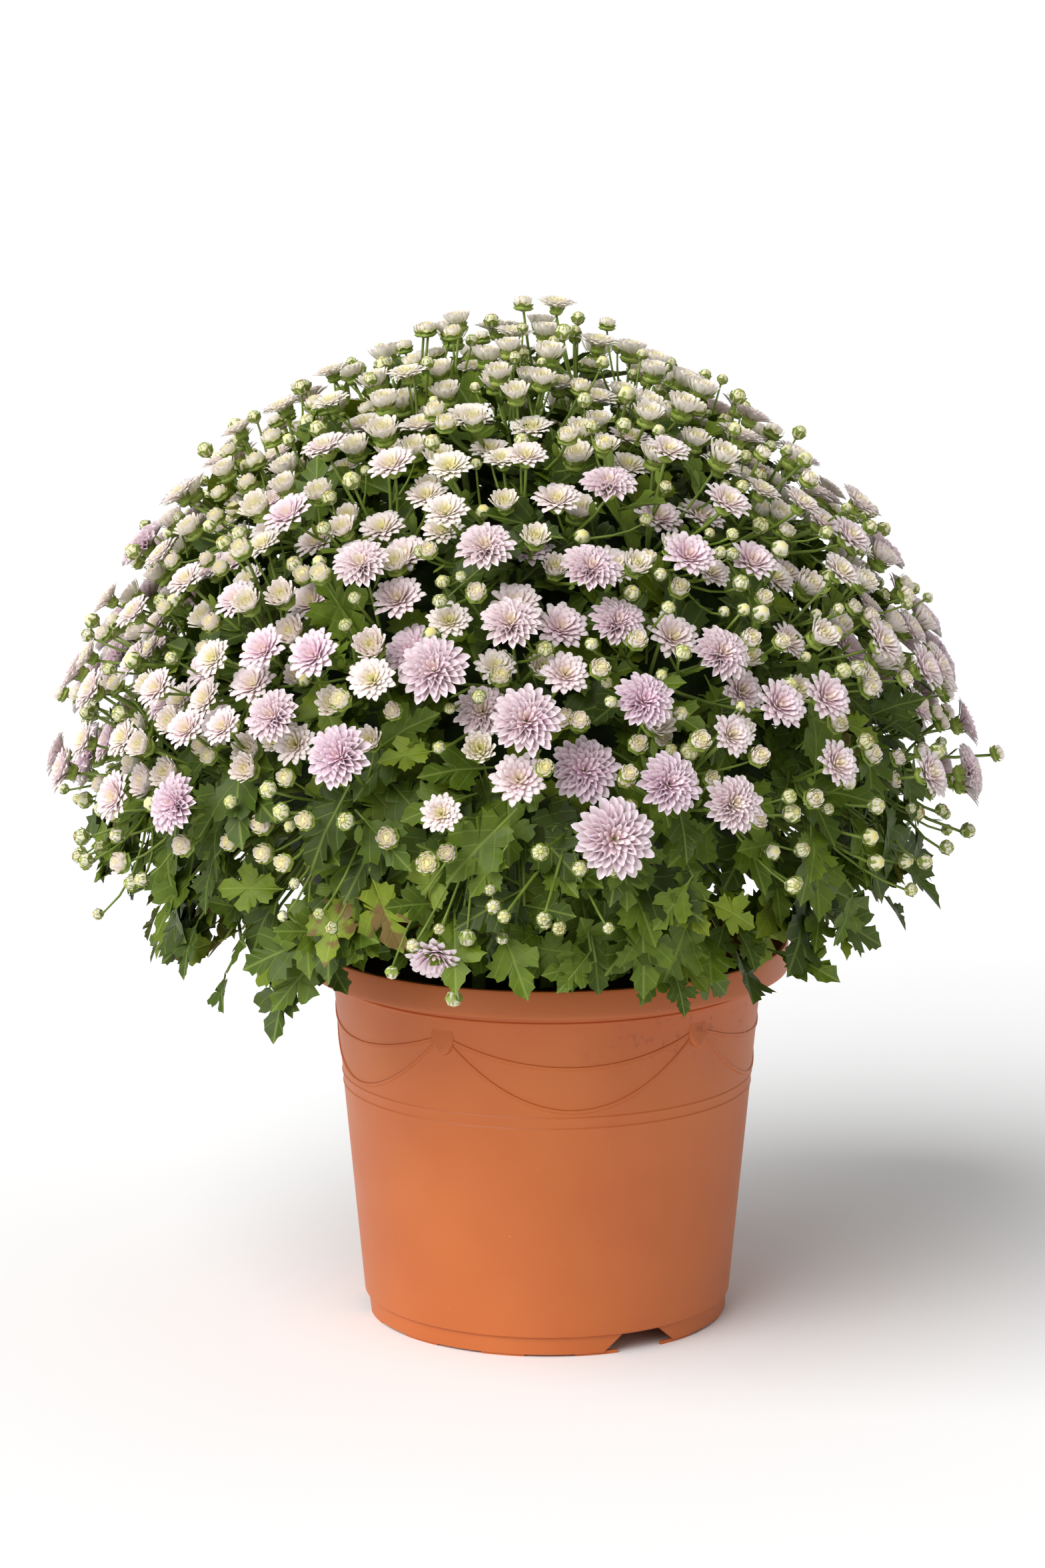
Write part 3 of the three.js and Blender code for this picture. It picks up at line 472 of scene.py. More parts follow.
def ball_template(name, u_segments, v_segments, **values):
    """A ball 1 in radius round the origin."""
    bm = new_bmesh()
    bmesh.ops.create_uvsphere(bm, u_segments=u_segments, v_segments=v_segments, radius=1)
    set_layers(bm, bm.verts, **values)
    return to_mesh(name, bm)

# %% [markdown]
# ## Pot
# The pot is a thin conical shell with a stout collar, a recessed floor on a foot ring, two
# hairline rings round its middle and garlands moulded under the collar. A profile turned
# round the axis makes the shell. Cutters with a wedge shape take the three notches out of the
# foot ring and round cutters the drain holes. The garlands are thin tubes laid on the wall,
# half sunk, with a flat round tab where two of them meet.

# %% Pot
RIM_RADIUS = 115
RIM_INNER_RADIUS = 112.4
POT_HEIGHT = 182
RIM_BOTTOM = 168.8
WALL = 1.8
WALL_TOP_RADIUS = 102.2
WALL_BOTTOM_RADIUS = 87.6
FOOT_RADIUS = 86
FOOT_WALL = 3
FOOT_TOP = 9.6
FLOOR_TOP = 12
PAD_HEIGHT = 1
PAD_COUNT = 12
PAD_FIRST_BEARING = 16
PAD_WIDTH = 14
PAD_INSET = 0.8
PAD_SUNK = 0.6
NOTCH_BEARINGS = (31, 151, 271)
NOTCH_BOTTOM_WIDTH = 30
NOTCH_TOP_WIDTH = 13.5
NOTCH_TOP = 9
DRAIN_COUNT = 6
DRAIN_RADIUS = 6
DRAIN_CIRCLE_RADIUS = 58
POT_STEPS = 160
HAIRLINES = (117.9, 112.6)
SWAG_COUNT = 5
SWAG_FIRST_BEARING = -28.4
TAB_HEIGHT = 155
TAB_RADII = (6.2, 2.1, 9.2)
TAB_SUNK = 1.4
TAB_TILT = -9
TAB_FLATNESS = 2.2
SWAG_SHARES = (0.03, 0.97)
SWAG_SUNK = 0.1
SWAG_RADII = (0.8, 1.2)
# Each garland's height at its ends and how far its middle hangs below them.
SWAGS = ((153.3, 11.4), (151.1, 30.1))
BEAD_HEIGHT = 163.5
SHARP_ANGLE = 32


def wall_radius(height):
    share = (height - FOOT_TOP) / (RIM_BOTTOM - 1.2 - FOOT_TOP)
    return mix(WALL_BOTTOM_RADIUS, WALL_TOP_RADIUS, share)


def wall_point(bearing, height, proud=0.0):
    turn = math.radians(bearing)
    radius = wall_radius(height) + proud
    return Vector((radius * math.sin(turn), -radius * math.cos(turn), height))


def pot_profile():
    """The outline of the shell's section, from the axis under the floor and round to it."""
    inner = FOOT_RADIUS - FOOT_WALL
    outside = [
        (0.0, FLOOR_TOP - WALL), (inner - 0.6, FLOOR_TOP - WALL), (inner, FLOOR_TOP - WALL - 0.6),
        (inner, PAD_HEIGHT + 0.3), (inner + 0.3, PAD_HEIGHT),
        (FOOT_RADIUS - 0.3, PAD_HEIGHT), (FOOT_RADIUS, PAD_HEIGHT + 0.3),
        (FOOT_RADIUS, FOOT_TOP), (WALL_BOTTOM_RADIUS - 0.5, FOOT_TOP),
        (WALL_BOTTOM_RADIUS, FOOT_TOP + 0.5),
    ]
    for height in reversed(HAIRLINES):
        radius = wall_radius(height)
        outside += [(radius, height - 0.7), (radius + 0.35, height), (radius, height + 0.7)]
    bead = wall_radius(BEAD_HEIGHT)
    outside += [
        (bead, BEAD_HEIGHT - 0.9), (bead + 0.5, BEAD_HEIGHT - 0.3),
        (bead + 0.5, BEAD_HEIGHT + 0.3), (bead, BEAD_HEIGHT + 0.9),
        (WALL_TOP_RADIUS, RIM_BOTTOM - 1.6), (WALL_TOP_RADIUS + 0.8, RIM_BOTTOM - 0.2),
        (RIM_RADIUS - 1.4, RIM_BOTTOM), (RIM_RADIUS - 0.3, RIM_BOTTOM + 0.3),
        (RIM_RADIUS, RIM_BOTTOM + 1.4), (RIM_RADIUS - 0.3, RIM_BOTTOM + 3.2),
        (RIM_RADIUS - 0.3, POT_HEIGHT - 1.6), (RIM_RADIUS - 0.8, POT_HEIGHT - 0.3),
        (RIM_RADIUS - 1.4, POT_HEIGHT),
    ]
    inside = [
        (RIM_INNER_RADIUS + 0.4, POT_HEIGHT), (RIM_INNER_RADIUS, POT_HEIGHT - 0.5),
        (RIM_INNER_RADIUS - 1.2, RIM_BOTTOM + 1.6), (RIM_INNER_RADIUS - 2.4, RIM_BOTTOM + 0.8),
        (WALL_TOP_RADIUS - WALL + 1.2, RIM_BOTTOM - 1.4),
        (WALL_TOP_RADIUS - WALL, RIM_BOTTOM - 2.8),
        (WALL_BOTTOM_RADIUS - WALL, FLOOR_TOP + 1.5),
        (WALL_BOTTOM_RADIUS - WALL - 1.5, FLOOR_TOP), (0.0, FLOOR_TOP),
    ]
    return outside + inside


def cutter_object(name, bm):
    bmesh.ops.recalc_face_normals(bm, faces=bm.faces)
    return add_object(name, to_mesh(name, bm, smooth=False))


def notch_cutters():
    """Wedges that are wide at the ground and narrow above, across the foot ring."""
    bm = bmesh.new()
    for bearing in NOTCH_BEARINGS:
        made = bmesh.ops.create_cube(bm, size=1)["verts"]
        for vert in made:
            top = vert.co.z > 0
            width = NOTCH_TOP_WIDTH if top else NOTCH_BOTTOM_WIDTH
            half = FOOT_RADIUS * math.tan(math.radians(width / 2))
            depth = -FOOT_RADIUS + 4 * FOOT_WALL * vert.co.y
            vert.co = Vector((2 * half * vert.co.x, depth, NOTCH_TOP if top else -2.0))
        bmesh.ops.rotate(bm, verts=made, matrix=rotation(bearing))
    return cutter_object("notch_cutters", bm)


def drain_cutters():
    bm = bmesh.new()
    for i in range(DRAIN_COUNT):
        turn = i * 2 * math.pi / DRAIN_COUNT
        place = Matrix.Translation(
            (DRAIN_CIRCLE_RADIUS * math.sin(turn), -DRAIN_CIRCLE_RADIUS * math.cos(turn), FLOOR_TOP))
        bmesh.ops.create_cone(
            bm, cap_ends=True, segments=24, radius1=DRAIN_RADIUS, radius2=DRAIN_RADIUS,
            depth=4 * WALL, matrix=place)
    return cutter_object("drain_cutters", bm)


def cut(body, cutter):
    """Takes the cutter out of the body and removes the cutter."""
    modifier = body.modifiers.new("cut", "BOOLEAN")
    modifier.operation = "DIFFERENCE"
    modifier.solver = "EXACT"
    modifier.object = cutter
    graph = bpy.context.evaluated_depsgraph_get()
    body.data = bpy.data.meshes.new_from_object(body.evaluated_get(graph))
    body.modifiers.clear()
    bpy.data.objects.remove(cutter)


def cut_shell():
    """The turned shell with its notches and drain holes."""
    bm = bmesh.new()
    turned_profile(bm, pot_profile(), POT_STEPS)
    body = add_object("pot_shell", to_mesh("pot_shell", bm))
    cut(body, notch_cutters())
    cut(body, drain_cutters())
    mesh = body.data
    bpy.data.objects.remove(body)
    return mesh


def pad_template():
    """A short piece of a ring, turned from its section through the pad's width."""
    low = FOOT_RADIUS - FOOT_WALL + PAD_INSET
    high = FOOT_RADIUS - PAD_INSET
    top = PAD_HEIGHT + PAD_SUNK
    bm = new_bmesh()
    made = bmesh.ops.create_grid(bm, x_segments=1, y_segments=1, size=0.5)["verts"]
    for vert in made:
        radius = mix(low, high, vert.co.x + 0.5)
        vert.co = Vector((0, -radius, top * (vert.co.y + 0.5)))
    bmesh.ops.spin(
        bm, geom=bm.verts[:] + bm.edges[:] + bm.faces[:], cent=(0, 0, 0), axis=(0, 0, 1),
        angle=math.radians(PAD_WIDTH), steps=6)
    bmesh.ops.rotate(bm, verts=bm.verts, matrix=rotation(-PAD_WIDTH / 2))
    bmesh.ops.recalc_face_normals(bm, faces=bm.faces)
    return to_mesh("pad", bm)


def add_pads(bm):
    """The pads under the foot ring, which the pot stands on."""
    pad = pad_template()
    for i in range(PAD_COUNT):
        add_copy(bm, pad, rotation(PAD_FIRST_BEARING + i * 360 / PAD_COUNT))


def add_swags(bm):
    """Two hairline garlands from tab to tab, five times round the wall."""
    tube = tube_template(6, 23)
    pitch = 360 / SWAG_COUNT
    for i in range(SWAG_COUNT):
        start = SWAG_FIRST_BEARING + i * pitch
        for ends, sag in SWAGS:
            for vert in add_copy(bm, tube, Matrix()):
                share = vert.co.z
                bearing = start + pitch * mix(*SWAG_SHARES, share)
                height = ends - sag * (1 - (2 * share - 1) ** 2)
                centre = wall_point(bearing, height, -SWAG_SUNK)
                outwards = Vector((centre.x, centre.y, 0)).normalized()
                rise = Vector((0, 0, vert.co.y * SWAG_RADII[1]))
                vert.co = centre + outwards * vert.co.x * SWAG_RADII[0] + rise


def add_tabs(bm):
    """A flat tab where two garlands meet: its round lower end stands out, its top fades out."""
    tab = ball_template("tab", 20, 12)
    for vert in tab.vertices:
        vert.co.y = max(-1, min(1, TAB_FLATNESS * vert.co.y))
    for i in range(SWAG_COUNT):
        bearing = SWAG_FIRST_BEARING + i * 360 / SWAG_COUNT
        place = Matrix.Translation(wall_point(bearing, TAB_HEIGHT, -TAB_SUNK))
        turn = place @ rotation(bearing) @ rotation(TAB_TILT, "X")
        add_copy(bm, tab, turn @ stretch(*TAB_RADII))


def build_pot():
    bm = new_bmesh()
    bm.from_mesh(cut_shell())
    add_pads(bm)
    add_swags(bm)
    add_tabs(bm)
    bmesh.ops.recalc_face_normals(bm, faces=bm.faces)
    for edge in bm.edges:
        if len(edge.link_faces) == 2:
            edge.smooth = edge.calc_face_angle() < math.radians(SHARP_ANGLE)
    bmesh.ops.translate(bm, vec=(POT_AXIS_X, 0, 0), verts=bm.verts)
    finish_piece("growers_pot", bm, [PLASTIC], "pot")


build_pot()
print("pot:", piece_triangles["growers_pot"], "triangles")

# %% [markdown]
# ## Potting mix
# The mix fills the pot to just under the collar. It is a turned plug whose top is pushed up
# and down by noise in crumbs of a few millimetres, because crumbs are all that shows of it.

# %% Potting mix
MIX_EDGE_HEIGHT = 163
MIX_MIDDLE_HEIGHT = 167
MIX_RINGS = 26
MIX_STEPS = 96
# The width and the height of the fine and the coarse crumbs.
CRUMBS = ((5, 1.6), (14, 2.0))
CRUMBS_SUNK = 1.2
# How far the mix stays off the pot: at the floor, at its lower edge and at its upper edge.
MIX_GAPS = (0.3, 0.6, 0.8)


def build_potting_mix():
    bm = new_bmesh()
    floor_gap, bottom_gap, top_gap = MIX_GAPS
    bottom = WALL_BOTTOM_RADIUS - WALL - bottom_gap
    top = wall_radius(MIX_EDGE_HEIGHT) - WALL - top_gap
    profile = [(0.0, FLOOR_TOP + floor_gap), (bottom, FLOOR_TOP + floor_gap)]
    for i in range(MIX_RINGS):
        share = i / MIX_RINGS
        height = mix(MIX_EDGE_HEIGHT, MIX_MIDDLE_HEIGHT, smooth_step(0, 0.5, share))
        profile.append((top * (1 - share), height))
    profile.append((0.0, MIX_MIDDLE_HEIGHT))
    turned_profile(bm, profile, MIX_STEPS)
    for vert in bm.verts:
        radius = math.hypot(vert.co.x, vert.co.y)
        if vert.co.z > MIX_EDGE_HEIGHT - 1 and radius < top - 1:
            vert.co.z += bumps(vert.co, CRUMBS) - CRUMBS_SUNK
    bmesh.ops.translate(bm, vec=(POT_AXIS_X, 0, 0), verts=bm.verts)
    finish_piece("potting_mix_plug", bm, [MIX], "potting_mix")


build_potting_mix()
print("potting mix:", piece_triangles["potting_mix_plug"], "triangles")

# %% [markdown]
# ## Where the flowers are
# The heads lie on a dome round a point above the pot. Those of the front are listed and the
# rest are drawn by a seeded generator, kind by kind, each kept only where it touches no
# other. The solid model works out the same list by the same rule, so that each bloom here
# lies where its solid does. Small side buds, which the solids leave out, are drawn last.

# %% Where the flowers are
BUSH_CENTRE = np.array([-8.0, 0.0, 262.0])
FLOWER_SEED = 20
HEAD_REACH = 208
CROWN_RISE = 18
CROWN_START = 66
SKIRT_RISE = 8
SKIRT_END = 26
LEVELS = [0, -12, -24, 9]
DRAWN_SINK = 6
DRAWN_STEP = 12
FACING_LIFT = 0.32
HUB_REACH = 156
HEAD_ROOM = 1.6
HEAD_HEIGHT = 0.17
LONGEST_STALK = 64
STALK_PROBES = [0.3, 0.4, 0.5, 0.6, 0.7, 0.8, 0.9]
OPEN_DIAMETER = 17.5
BUD_DIAMETER = 9.5
# How deep an open head, a half-open one and a bud are for their diameter.
HEAD_DEPTHS = (0.3, 0.62, 0.9)
# The sprays in rows round the dome: elevation, how many, and the first one's bearing.
SPRAY_ROWS = [(4, 15, 1.5), (25, 15, 1.5), (47, 11, 2), (70, 7, 3)]
STALK_SPACING = 11
# Bearing, elevation, diameter and, for some, the level.
PLACED_FLOWERS = [
    [12, 3, 35], [19, 9, 28], [10, 11, 30], [1, 10, 24], [-8, 6, 18], [-44, 4, 27], [-56, 3, 24],
    [-75, 3, 24], [-90, 2, 22], [27, 6, 26], [43, 9, 22], [62, 5, 24], [80, 2, 26], [91, 6, 24],
    [73, 8, 12], [16, 6, 9], [13, -1, 10], [-44, 10, 13], [-67, 8, 20], [-53, 10, 14],
    [-21, 12, 29], [-29, 13, 20], [-31, 16, 25], [-26, 11, 14], [-38, 14, 19], [-44, 13, 20],
    [-52, 17, 20], [-46, 17, 20], [-70, 14, 22], [-90, 13, 22], [-14, 18, 18], [-4, 19, 25],
    [-5, 15, 11], [2, 17, 31], [7, 18, 12], [10, 18, 12], [13, 19, 10], [20, 17, 17], [17, 19, 26],
    [22, 15, 11], [24, 13, 9], [28, 14, 20], [32, 15, 14], [36, 17, 24], [44, 17, 24], [43, 11, 10],
    [70, 17, 24], [77, 16, 22], [72, 12, 20], [59, 18, 18], [64, 17, 10], [-25, 19, 16],
    [-58, 14, 9], [-26, 16, 10], [-68, 19, 22], [-79, 17, 18], [-17, 21, 20], [-22, 22, 20],
    [-15, 27, 27], [-10, 23, 30], [0, 29, 26], [-27, 24, 24], [-27, 26, 11], [-30, 22, 22],
    [-35, 24, 23], [-43, 22, 19], [-42, 20, 9], [-38, 20, 22], [-45, 25, 9], [-30, 27, 10],
    [-41, 30, 15], [-55, 31, 19], [-66, 25, 20], [-85, 24, 18], [16, 30, 25], [8, 31, 24],
    [11, 30, 13], [29, 24, 26], [35, 26, 12], [40, 25, 10], [38, 29, 9], [48, 25, 16], [53, 23, 14],
    [60, 22, 22], [57, 32, 20], [70, 31, 20], [59, 24, 9], [53, 20, 9], [88, 21, 16], [90, 26, 12],
    [2, 34, 24], [-4, 39, 26], [4, 41, 14], [5, 38, 9], [-13, 39, 10], [-27, 39, 19], [-30, 35, 12],
    [-23, 36, 25], [-20, 39, 15], [-11, 44, 20], [-40, 42, 24], [-44, 36, 13], [-47, 39, 18],
    [-52, 35, 18], [-65, 38, 14], [-50, 43, 17], [-78, 41, 20], [12, 36, 26], [17, 36, 15],
    [19, 40, 21], [28, 37, 24], [28, 35, 12], [34, 36, 18], [47, 37, 9], [45, 42, 14], [40, 44, 23],
    [30, 45, 15], [63, 33, 9], [66, 36, 22], [58, 42, 20], [71, 40, 20], [45, 46, 18], [-36, 44, 11],
    [18, 48, 25], [3, 53, 19], [-4, 49, 17], [-2, 56, 18], [-12, 51, 20], [-17, 49, 19],
    [-24, 51, 22], [-16, 56, 19], [-42, 53, 22], [-43, 49, 15], [-44, 58, 16], [-53, 45, 15],
    [-66, 54, 13], [-70, 47, 14], [-75, 58, 18], [-85, 52, 18], [-32, 58, 17], [-42, 60, 13],
    [2, 60, 12], [13, 58, 12], [21, 56, 11], [34, 53, 20], [38, 57, 17], [43, 52, 14], [49, 52, 17],
    [58, 47, 19], [50, 58, 15], [-52, 57, 9], [27, 54, 9], [-32, 49, 9], [62, 51, 10],
    [-55, 61, 18], [-40, 64, 16], [-22, 63, 13], [-10, 61, 14], [-27, 67, 16], [-40, 69, 18],
    [-85, 66, 18], [9, 62, 12], [1, 67, 14], [-6, 66, 9], [11, 70, 14], [38, 61, 15], [38, 66, 9],
    [54, 62, 17], [75, 64, 16], [60, 84, 18], [97, 1, 10, 20], [88, -7, 8, 4], [-95, 9, 10, 8],
]
# Tries, lowest and highest elevation, smallest and largest diameter, and the bearing on
# either side of the front within which none is drawn.
DRAWN_FLOWERS = [
    (165, -3, 34, 24, 31, 84),
    (265, -2, 58, 18, 24, 84),
    (80, 20, 88, 12, 18, 80),
    (50, 62, 90, 10, 18, 0),
    (40, -6, 88, 8, 9.4, 0),
]
FEWEST_FLOWERS = 5
FILL_TRIES = 24
FILL_SPREAD = 17
FILL_DIAMETER = 8.5


def direction(bearing, elevation):
    """A unit vector: the bearing turns from the front to the right, the elevation up."""
    turn, rise = math.radians(bearing), math.radians(elevation)
    flat = math.cos(rise)
    return np.array([flat * math.sin(turn), -flat * math.cos(turn), math.sin(rise)])


def unit_of(vector):
    return vector / np.linalg.norm(vector)


def from_centre(unit, distance):
    return BUSH_CENTRE + unit * distance


def across(axis):
    """Two unit vectors across an axis, which with it make a right-handed frame."""
    side = np.cross((0.0, 0.0, 1.0), axis)
    if np.linalg.norm(side) < 0.01:
        side = np.array([1.0, 0.0, 0.0])
    side = unit_of(side)
    return side, np.cross(axis, side)


def ring_points(centre, axis, count, radius):
    side, up = across(axis)
    angles = np.arange(count) * 2 * math.pi / count
    return centre + radius * (np.outer(np.cos(angles), side) + np.outer(np.sin(angles), up))


def reach(elevation):
    crown = smooth_step(CROWN_START, 90, elevation)
    skirt = 1 - smooth_step(0, SKIRT_END, elevation)
    return HEAD_REACH + CROWN_RISE * crown + SKIRT_RISE * skirt


def depth_of(diameter):
    """How deep a head of a diameter is: flat as an open flower, half-open or a round bud."""
    open_depth, half_open_depth, bud_depth = HEAD_DEPTHS
    if diameter >= OPEN_DIAMETER:
        return open_depth * diameter
    if diameter >= BUD_DIAMETER:
        return half_open_depth * diameter
    return bud_depth * diameter


SPRAY_MIDDLES = [
    (first + i * 360 / count, elevation)
    for elevation, count, first in SPRAY_ROWS
    for i in range(count)
]
SPRAY_UNITS = np.array([direction(*middle) for middle in SPRAY_MIDDLES])


def make_flower(bearing, elevation, diameter, level):
    unit = direction(bearing, elevation)
    facing = unit_of(unit + np.array([0.0, 0.0, FACING_LIFT]))
    depth = depth_of(diameter)
    centre = from_centre(unit, reach(elevation) + level)
    neck = centre - facing * depth
    spray = int(np.argmax(SPRAY_UNITS @ unit))
    hub = from_centre(SPRAY_UNITS[spray], HUB_REACH)
    side, up = across(SPRAY_UNITS[spray])
    turn = math.atan2((neck - hub) @ up, (neck - hub) @ side)
    flower = {
        "unit": unit, "facing": facing, "diameter": diameter, "depth": depth,
        "centre": centre, "neck": neck, "spray": spray, "turn": turn,
    }
    flower["probes"] = head_probes(flower, hub)
    return flower


def head_probes(flower, hub):
    """The points where a flower could touch another: its rim, its face and its stalk."""
    half = flower["centre"] - flower["facing"] * flower["depth"] / 2
    stalk = [hub + (flower["neck"] - hub) * share for share in STALK_PROBES]
    return np.vstack([
        [flower["centre"], flower["neck"]],
        ring_points(flower["centre"], flower["facing"], 10, flower["diameter"] / 2),
        ring_points(half, flower["facing"], 6, flower["diameter"] / 3),
        stalk,
    ])


def touches_head(points, flower):
    """Whether any of the points lies in or close to a flower head."""
    offsets = points - flower["centre"]
    heights = offsets @ flower["facing"]
    asides = np.sqrt(np.maximum(0, (offsets * offsets).sum(axis=1) - heights * heights))
    near = asides < flower["diameter"] / 2 + HEAD_ROOM
    under = heights < flower["diameter"] * HEAD_HEIGHT + HEAD_ROOM
    above = heights > -flower["depth"] - HEAD_ROOM
    return bool(np.any(near & under & above))


def flowers_touch(one, other):
    far = (one["diameter"] + other["diameter"]) / 2 + LONGEST_STALK
    if np.linalg.norm(one["centre"] - other["centre"]) > far:
        return False
    stalks_meet = math.cos(one["turn"] - other["turn"]) > math.cos(math.radians(STALK_SPACING))
    if one["spray"] == other["spray"] and stalks_meet:
        return True
    return touches_head(one["probes"], other) or touches_head(other["probes"], one)


def try_flower(flowers, bearing, elevation, diameter, levels):
    """Tries a flower level by level and keeps it at the first one where it has room."""
    for level in levels:
        flower = make_flower(bearing, elevation, diameter, level)
        if not any(flowers_touch(flower, other) for other in flowers):
            flowers.append(flower)
            return


def lay_out_flowers():
    flowers = []
    for placed in sorted(PLACED_FLOWERS, key=lambda entry: -entry[2]):
        levels = LEVELS if len(placed) == 3 else [placed[3]]
        try_flower(flowers, *placed[:3], levels)
    random = seeded(FLOWER_SEED)
    for tries, low, high, small, large, clear in DRAWN_FLOWERS:
        low_sine, high_sine = math.sin(math.radians(low)), math.sin(math.radians(high))
        for _ in range(tries):
            bearing = 180 + (next(random) * 2 - 1) * (180 - clear)
            sine = low_sine + next(random) * (high_sine - low_sine)
            diameter = small + next(random) * (large - small)
            level = -DRAWN_SINK * next(random)
            try_flower(
                flowers, bearing, math.degrees(math.asin(sine)), diameter, [level, level - DRAWN_STEP])
    for spray, (middle_bearing, middle_elevation) in enumerate(SPRAY_MIDDLES):
        for _ in range(FILL_TRIES):
            bearing = middle_bearing + FILL_SPREAD * (next(random) - 0.5)
            elevation = middle_elevation + FILL_SPREAD * (next(random) - 0.5)
            if sum(flower["spray"] == spray for flower in flowers) < FEWEST_FLOWERS:
                try_flower(flowers, bearing, elevation, FILL_DIAMETER, [0, -DRAWN_STEP])
    return flowers


# %% [markdown]
# ## Side buds
# Between the heads stand several hundred smaller ones on branches of their neighbours' stalks:
# half-open blooms, cups, buttons and green buds. They are drawn kind by kind, the largest
# first, and one is kept where it is clear of every head so far. Each grows from the nearest
# flower's stalk.

# %% Side buds
SIDE_SEED = 77
SIDE_ROOM = 0.8
SIDE_NEARNESS = 0.86
# Tries, most kept, lowest elevation and how much higher it is in front, smallest and largest
# diameter, deepest and highest level.
SIDE_KINDS = (
    (2500, 130, 6, 13, 18, 24, -34, -6),
    (2500, 136, 3, 13, 13.5, 17.4, -26, 0),
    (2000, 138, -6, 8, 9.6, 12.8, -18, 4),
    (3000, 290, -13, 5, 5.2, 8.4, -15, 6),
)
FRONT_BEARING = 35
# A drooping cluster near the rim: a place, a diameter, and the elevation that it faces.
HANGING_HEADS = (
    ((-41, -196, 217), 24, -28), ((-33, -184, 192), 8.2, -88), ((-27, -196, 222), 8.2, -80),
    ((-12, -192, 222), 6, -70), ((-60, -190, 206), 6.5, -85),
)
HANGING_BEARING = -12


def draw_side_heads(flowers):
    """Small heads between the flowers, each with the flower whose stalk carries it."""
    centres = [flower["centre"] for flower in flowers]
    radii = [flower["diameter"] / 2 for flower in flowers]
    random = seeded(SIDE_SEED)
    sides = []
    for tries, most, lowest, front_rise, small, large, deep, high in SIDE_KINDS:
        low = math.sin(math.radians(lowest))
        kept = 0
        for _ in range(tries):
            bearing = 360 * next(random)
            elevation = math.degrees(math.asin(low + next(random) * (0.999 - low)))
            diameter = mix(small, large, next(random))
            level = mix(deep, high, next(random))
            rise = front_rise * math.cos(math.radians(bearing - FRONT_BEARING))
            if kept == most or elevation < lowest + rise:
                continue
            side = make_flower(bearing, elevation, diameter, level)
            gaps = np.linalg.norm(np.array(centres) - side["centre"], axis=1)
            gaps -= SIDE_NEARNESS * np.array(radii)
            if gaps.min() < SIDE_NEARNESS * diameter / 2 + SIDE_ROOM:
                continue
            nearest = int(np.argmin(gaps[:len(flowers)]))
            side["carrier"] = flowers[nearest]
            side["spray"] = flowers[nearest]["spray"]
            centres.append(side["centre"])
            radii.append(diameter / 2)
            sides.append(side)
            kept += 1
        print("side heads up to", large, "mm across:", kept)
    return sides


def hanging_heads(flowers):
    """The heads of the drooping cluster, carried by the flower next to it."""
    first = np.array(HANGING_HEADS[0][0], dtype=float)
    gaps = [np.linalg.norm(flower["centre"] - first) for flower in flowers]
    carrier = flowers[int(np.argmin(gaps))]
    heads = []
    for place, diameter, elevation in HANGING_HEADS:
        centre = np.array(place, dtype=float)
        heads.append({
            "unit": unit_of(centre - BUSH_CENTRE), "facing": direction(HANGING_BEARING, elevation),
            "diameter": diameter, "depth": depth_of(diameter), "centre": centre,
            "spray": carrier["spray"], "carrier": carrier,
        })
    return heads


FLOWERS = lay_out_flowers()
SIDE_HEADS = draw_side_heads(FLOWERS) + hanging_heads(FLOWERS)
print("flowers:", len(FLOWERS), "side heads:", len(SIDE_HEADS))

# %% [markdown]
# ## Flower heads
# A head is made once for each stage, in a few versions, 1 across with its rim at the origin.
# Petals follow the golden angle from the middle outwards. Each is a thin closed blade: a ball
# of few segments drawn out, flattened, hollowed like a spoon and bowed. A petal runs from its
# root to its tip, both given by how far out it stands, which makes the flat ripe bloom, the
# half-open cup and the tight button with one rule. A cup of green bracts closes each below.

# %% Petals
PETAL_ROWS = {
    4: ((0.0, 0.0), (0.42, 0.72), (0.78, 1.0), (0.94, 0.66), (1.0, 0.0)),
    5: ((0.0, 0.0), (0.3, 0.52), (0.64, 0.92), (0.86, 0.96), (0.96, 0.58), (1.0, 0.0)),
    3: ((0.0, 0.0), (0.4, 0.9), (0.8, 0.8), (1.0, 0.0)),
}
GOLDEN_ANGLE = math.radians(137.50776)


def petal_template(name, sides, rows, bow, channel, thickness):
    """A thin closed blade 1 long along +Z and 1 wide, with its hollow side towards +Y.

    Four sides give it a hollow face and a keeled back, and three a flat face.
    """
    bm = new_bmesh()
    bmesh.ops.create_uvsphere(bm, u_segments=sides, v_segments=rows, radius=1)
    if sides == 3:
        bmesh.ops.rotate(bm, verts=bm.verts, matrix=rotation(-90))
    along = bm.verts.layers.float["along"]
    for vert in bm.verts:
        row = round(math.acos(max(-1, min(1, -vert.co.z))) / math.pi * rows)
        share, width = PETAL_ROWS[rows][row]
        around = math.hypot(vert.co.x, vert.co.y)
        side = round(vert.co.x / around) if around > 1e-4 else 0
        face = vert.co.y / around if around > 1e-4 and side == 0 else 0
        bend = bow * 4 * share * (1 - share)
        lift = channel * width * abs(side)
        vert.co = Vector((0.5 * width * side, thickness * face + lift + bend, share))
        vert[along] = share
    for edge in bm.edges:
        edge.smooth = any(abs(vert.co.x) < 1e-4 and 0 < vert.co.z < 1 for vert in edge.verts)
    return to_mesh(name, bm)


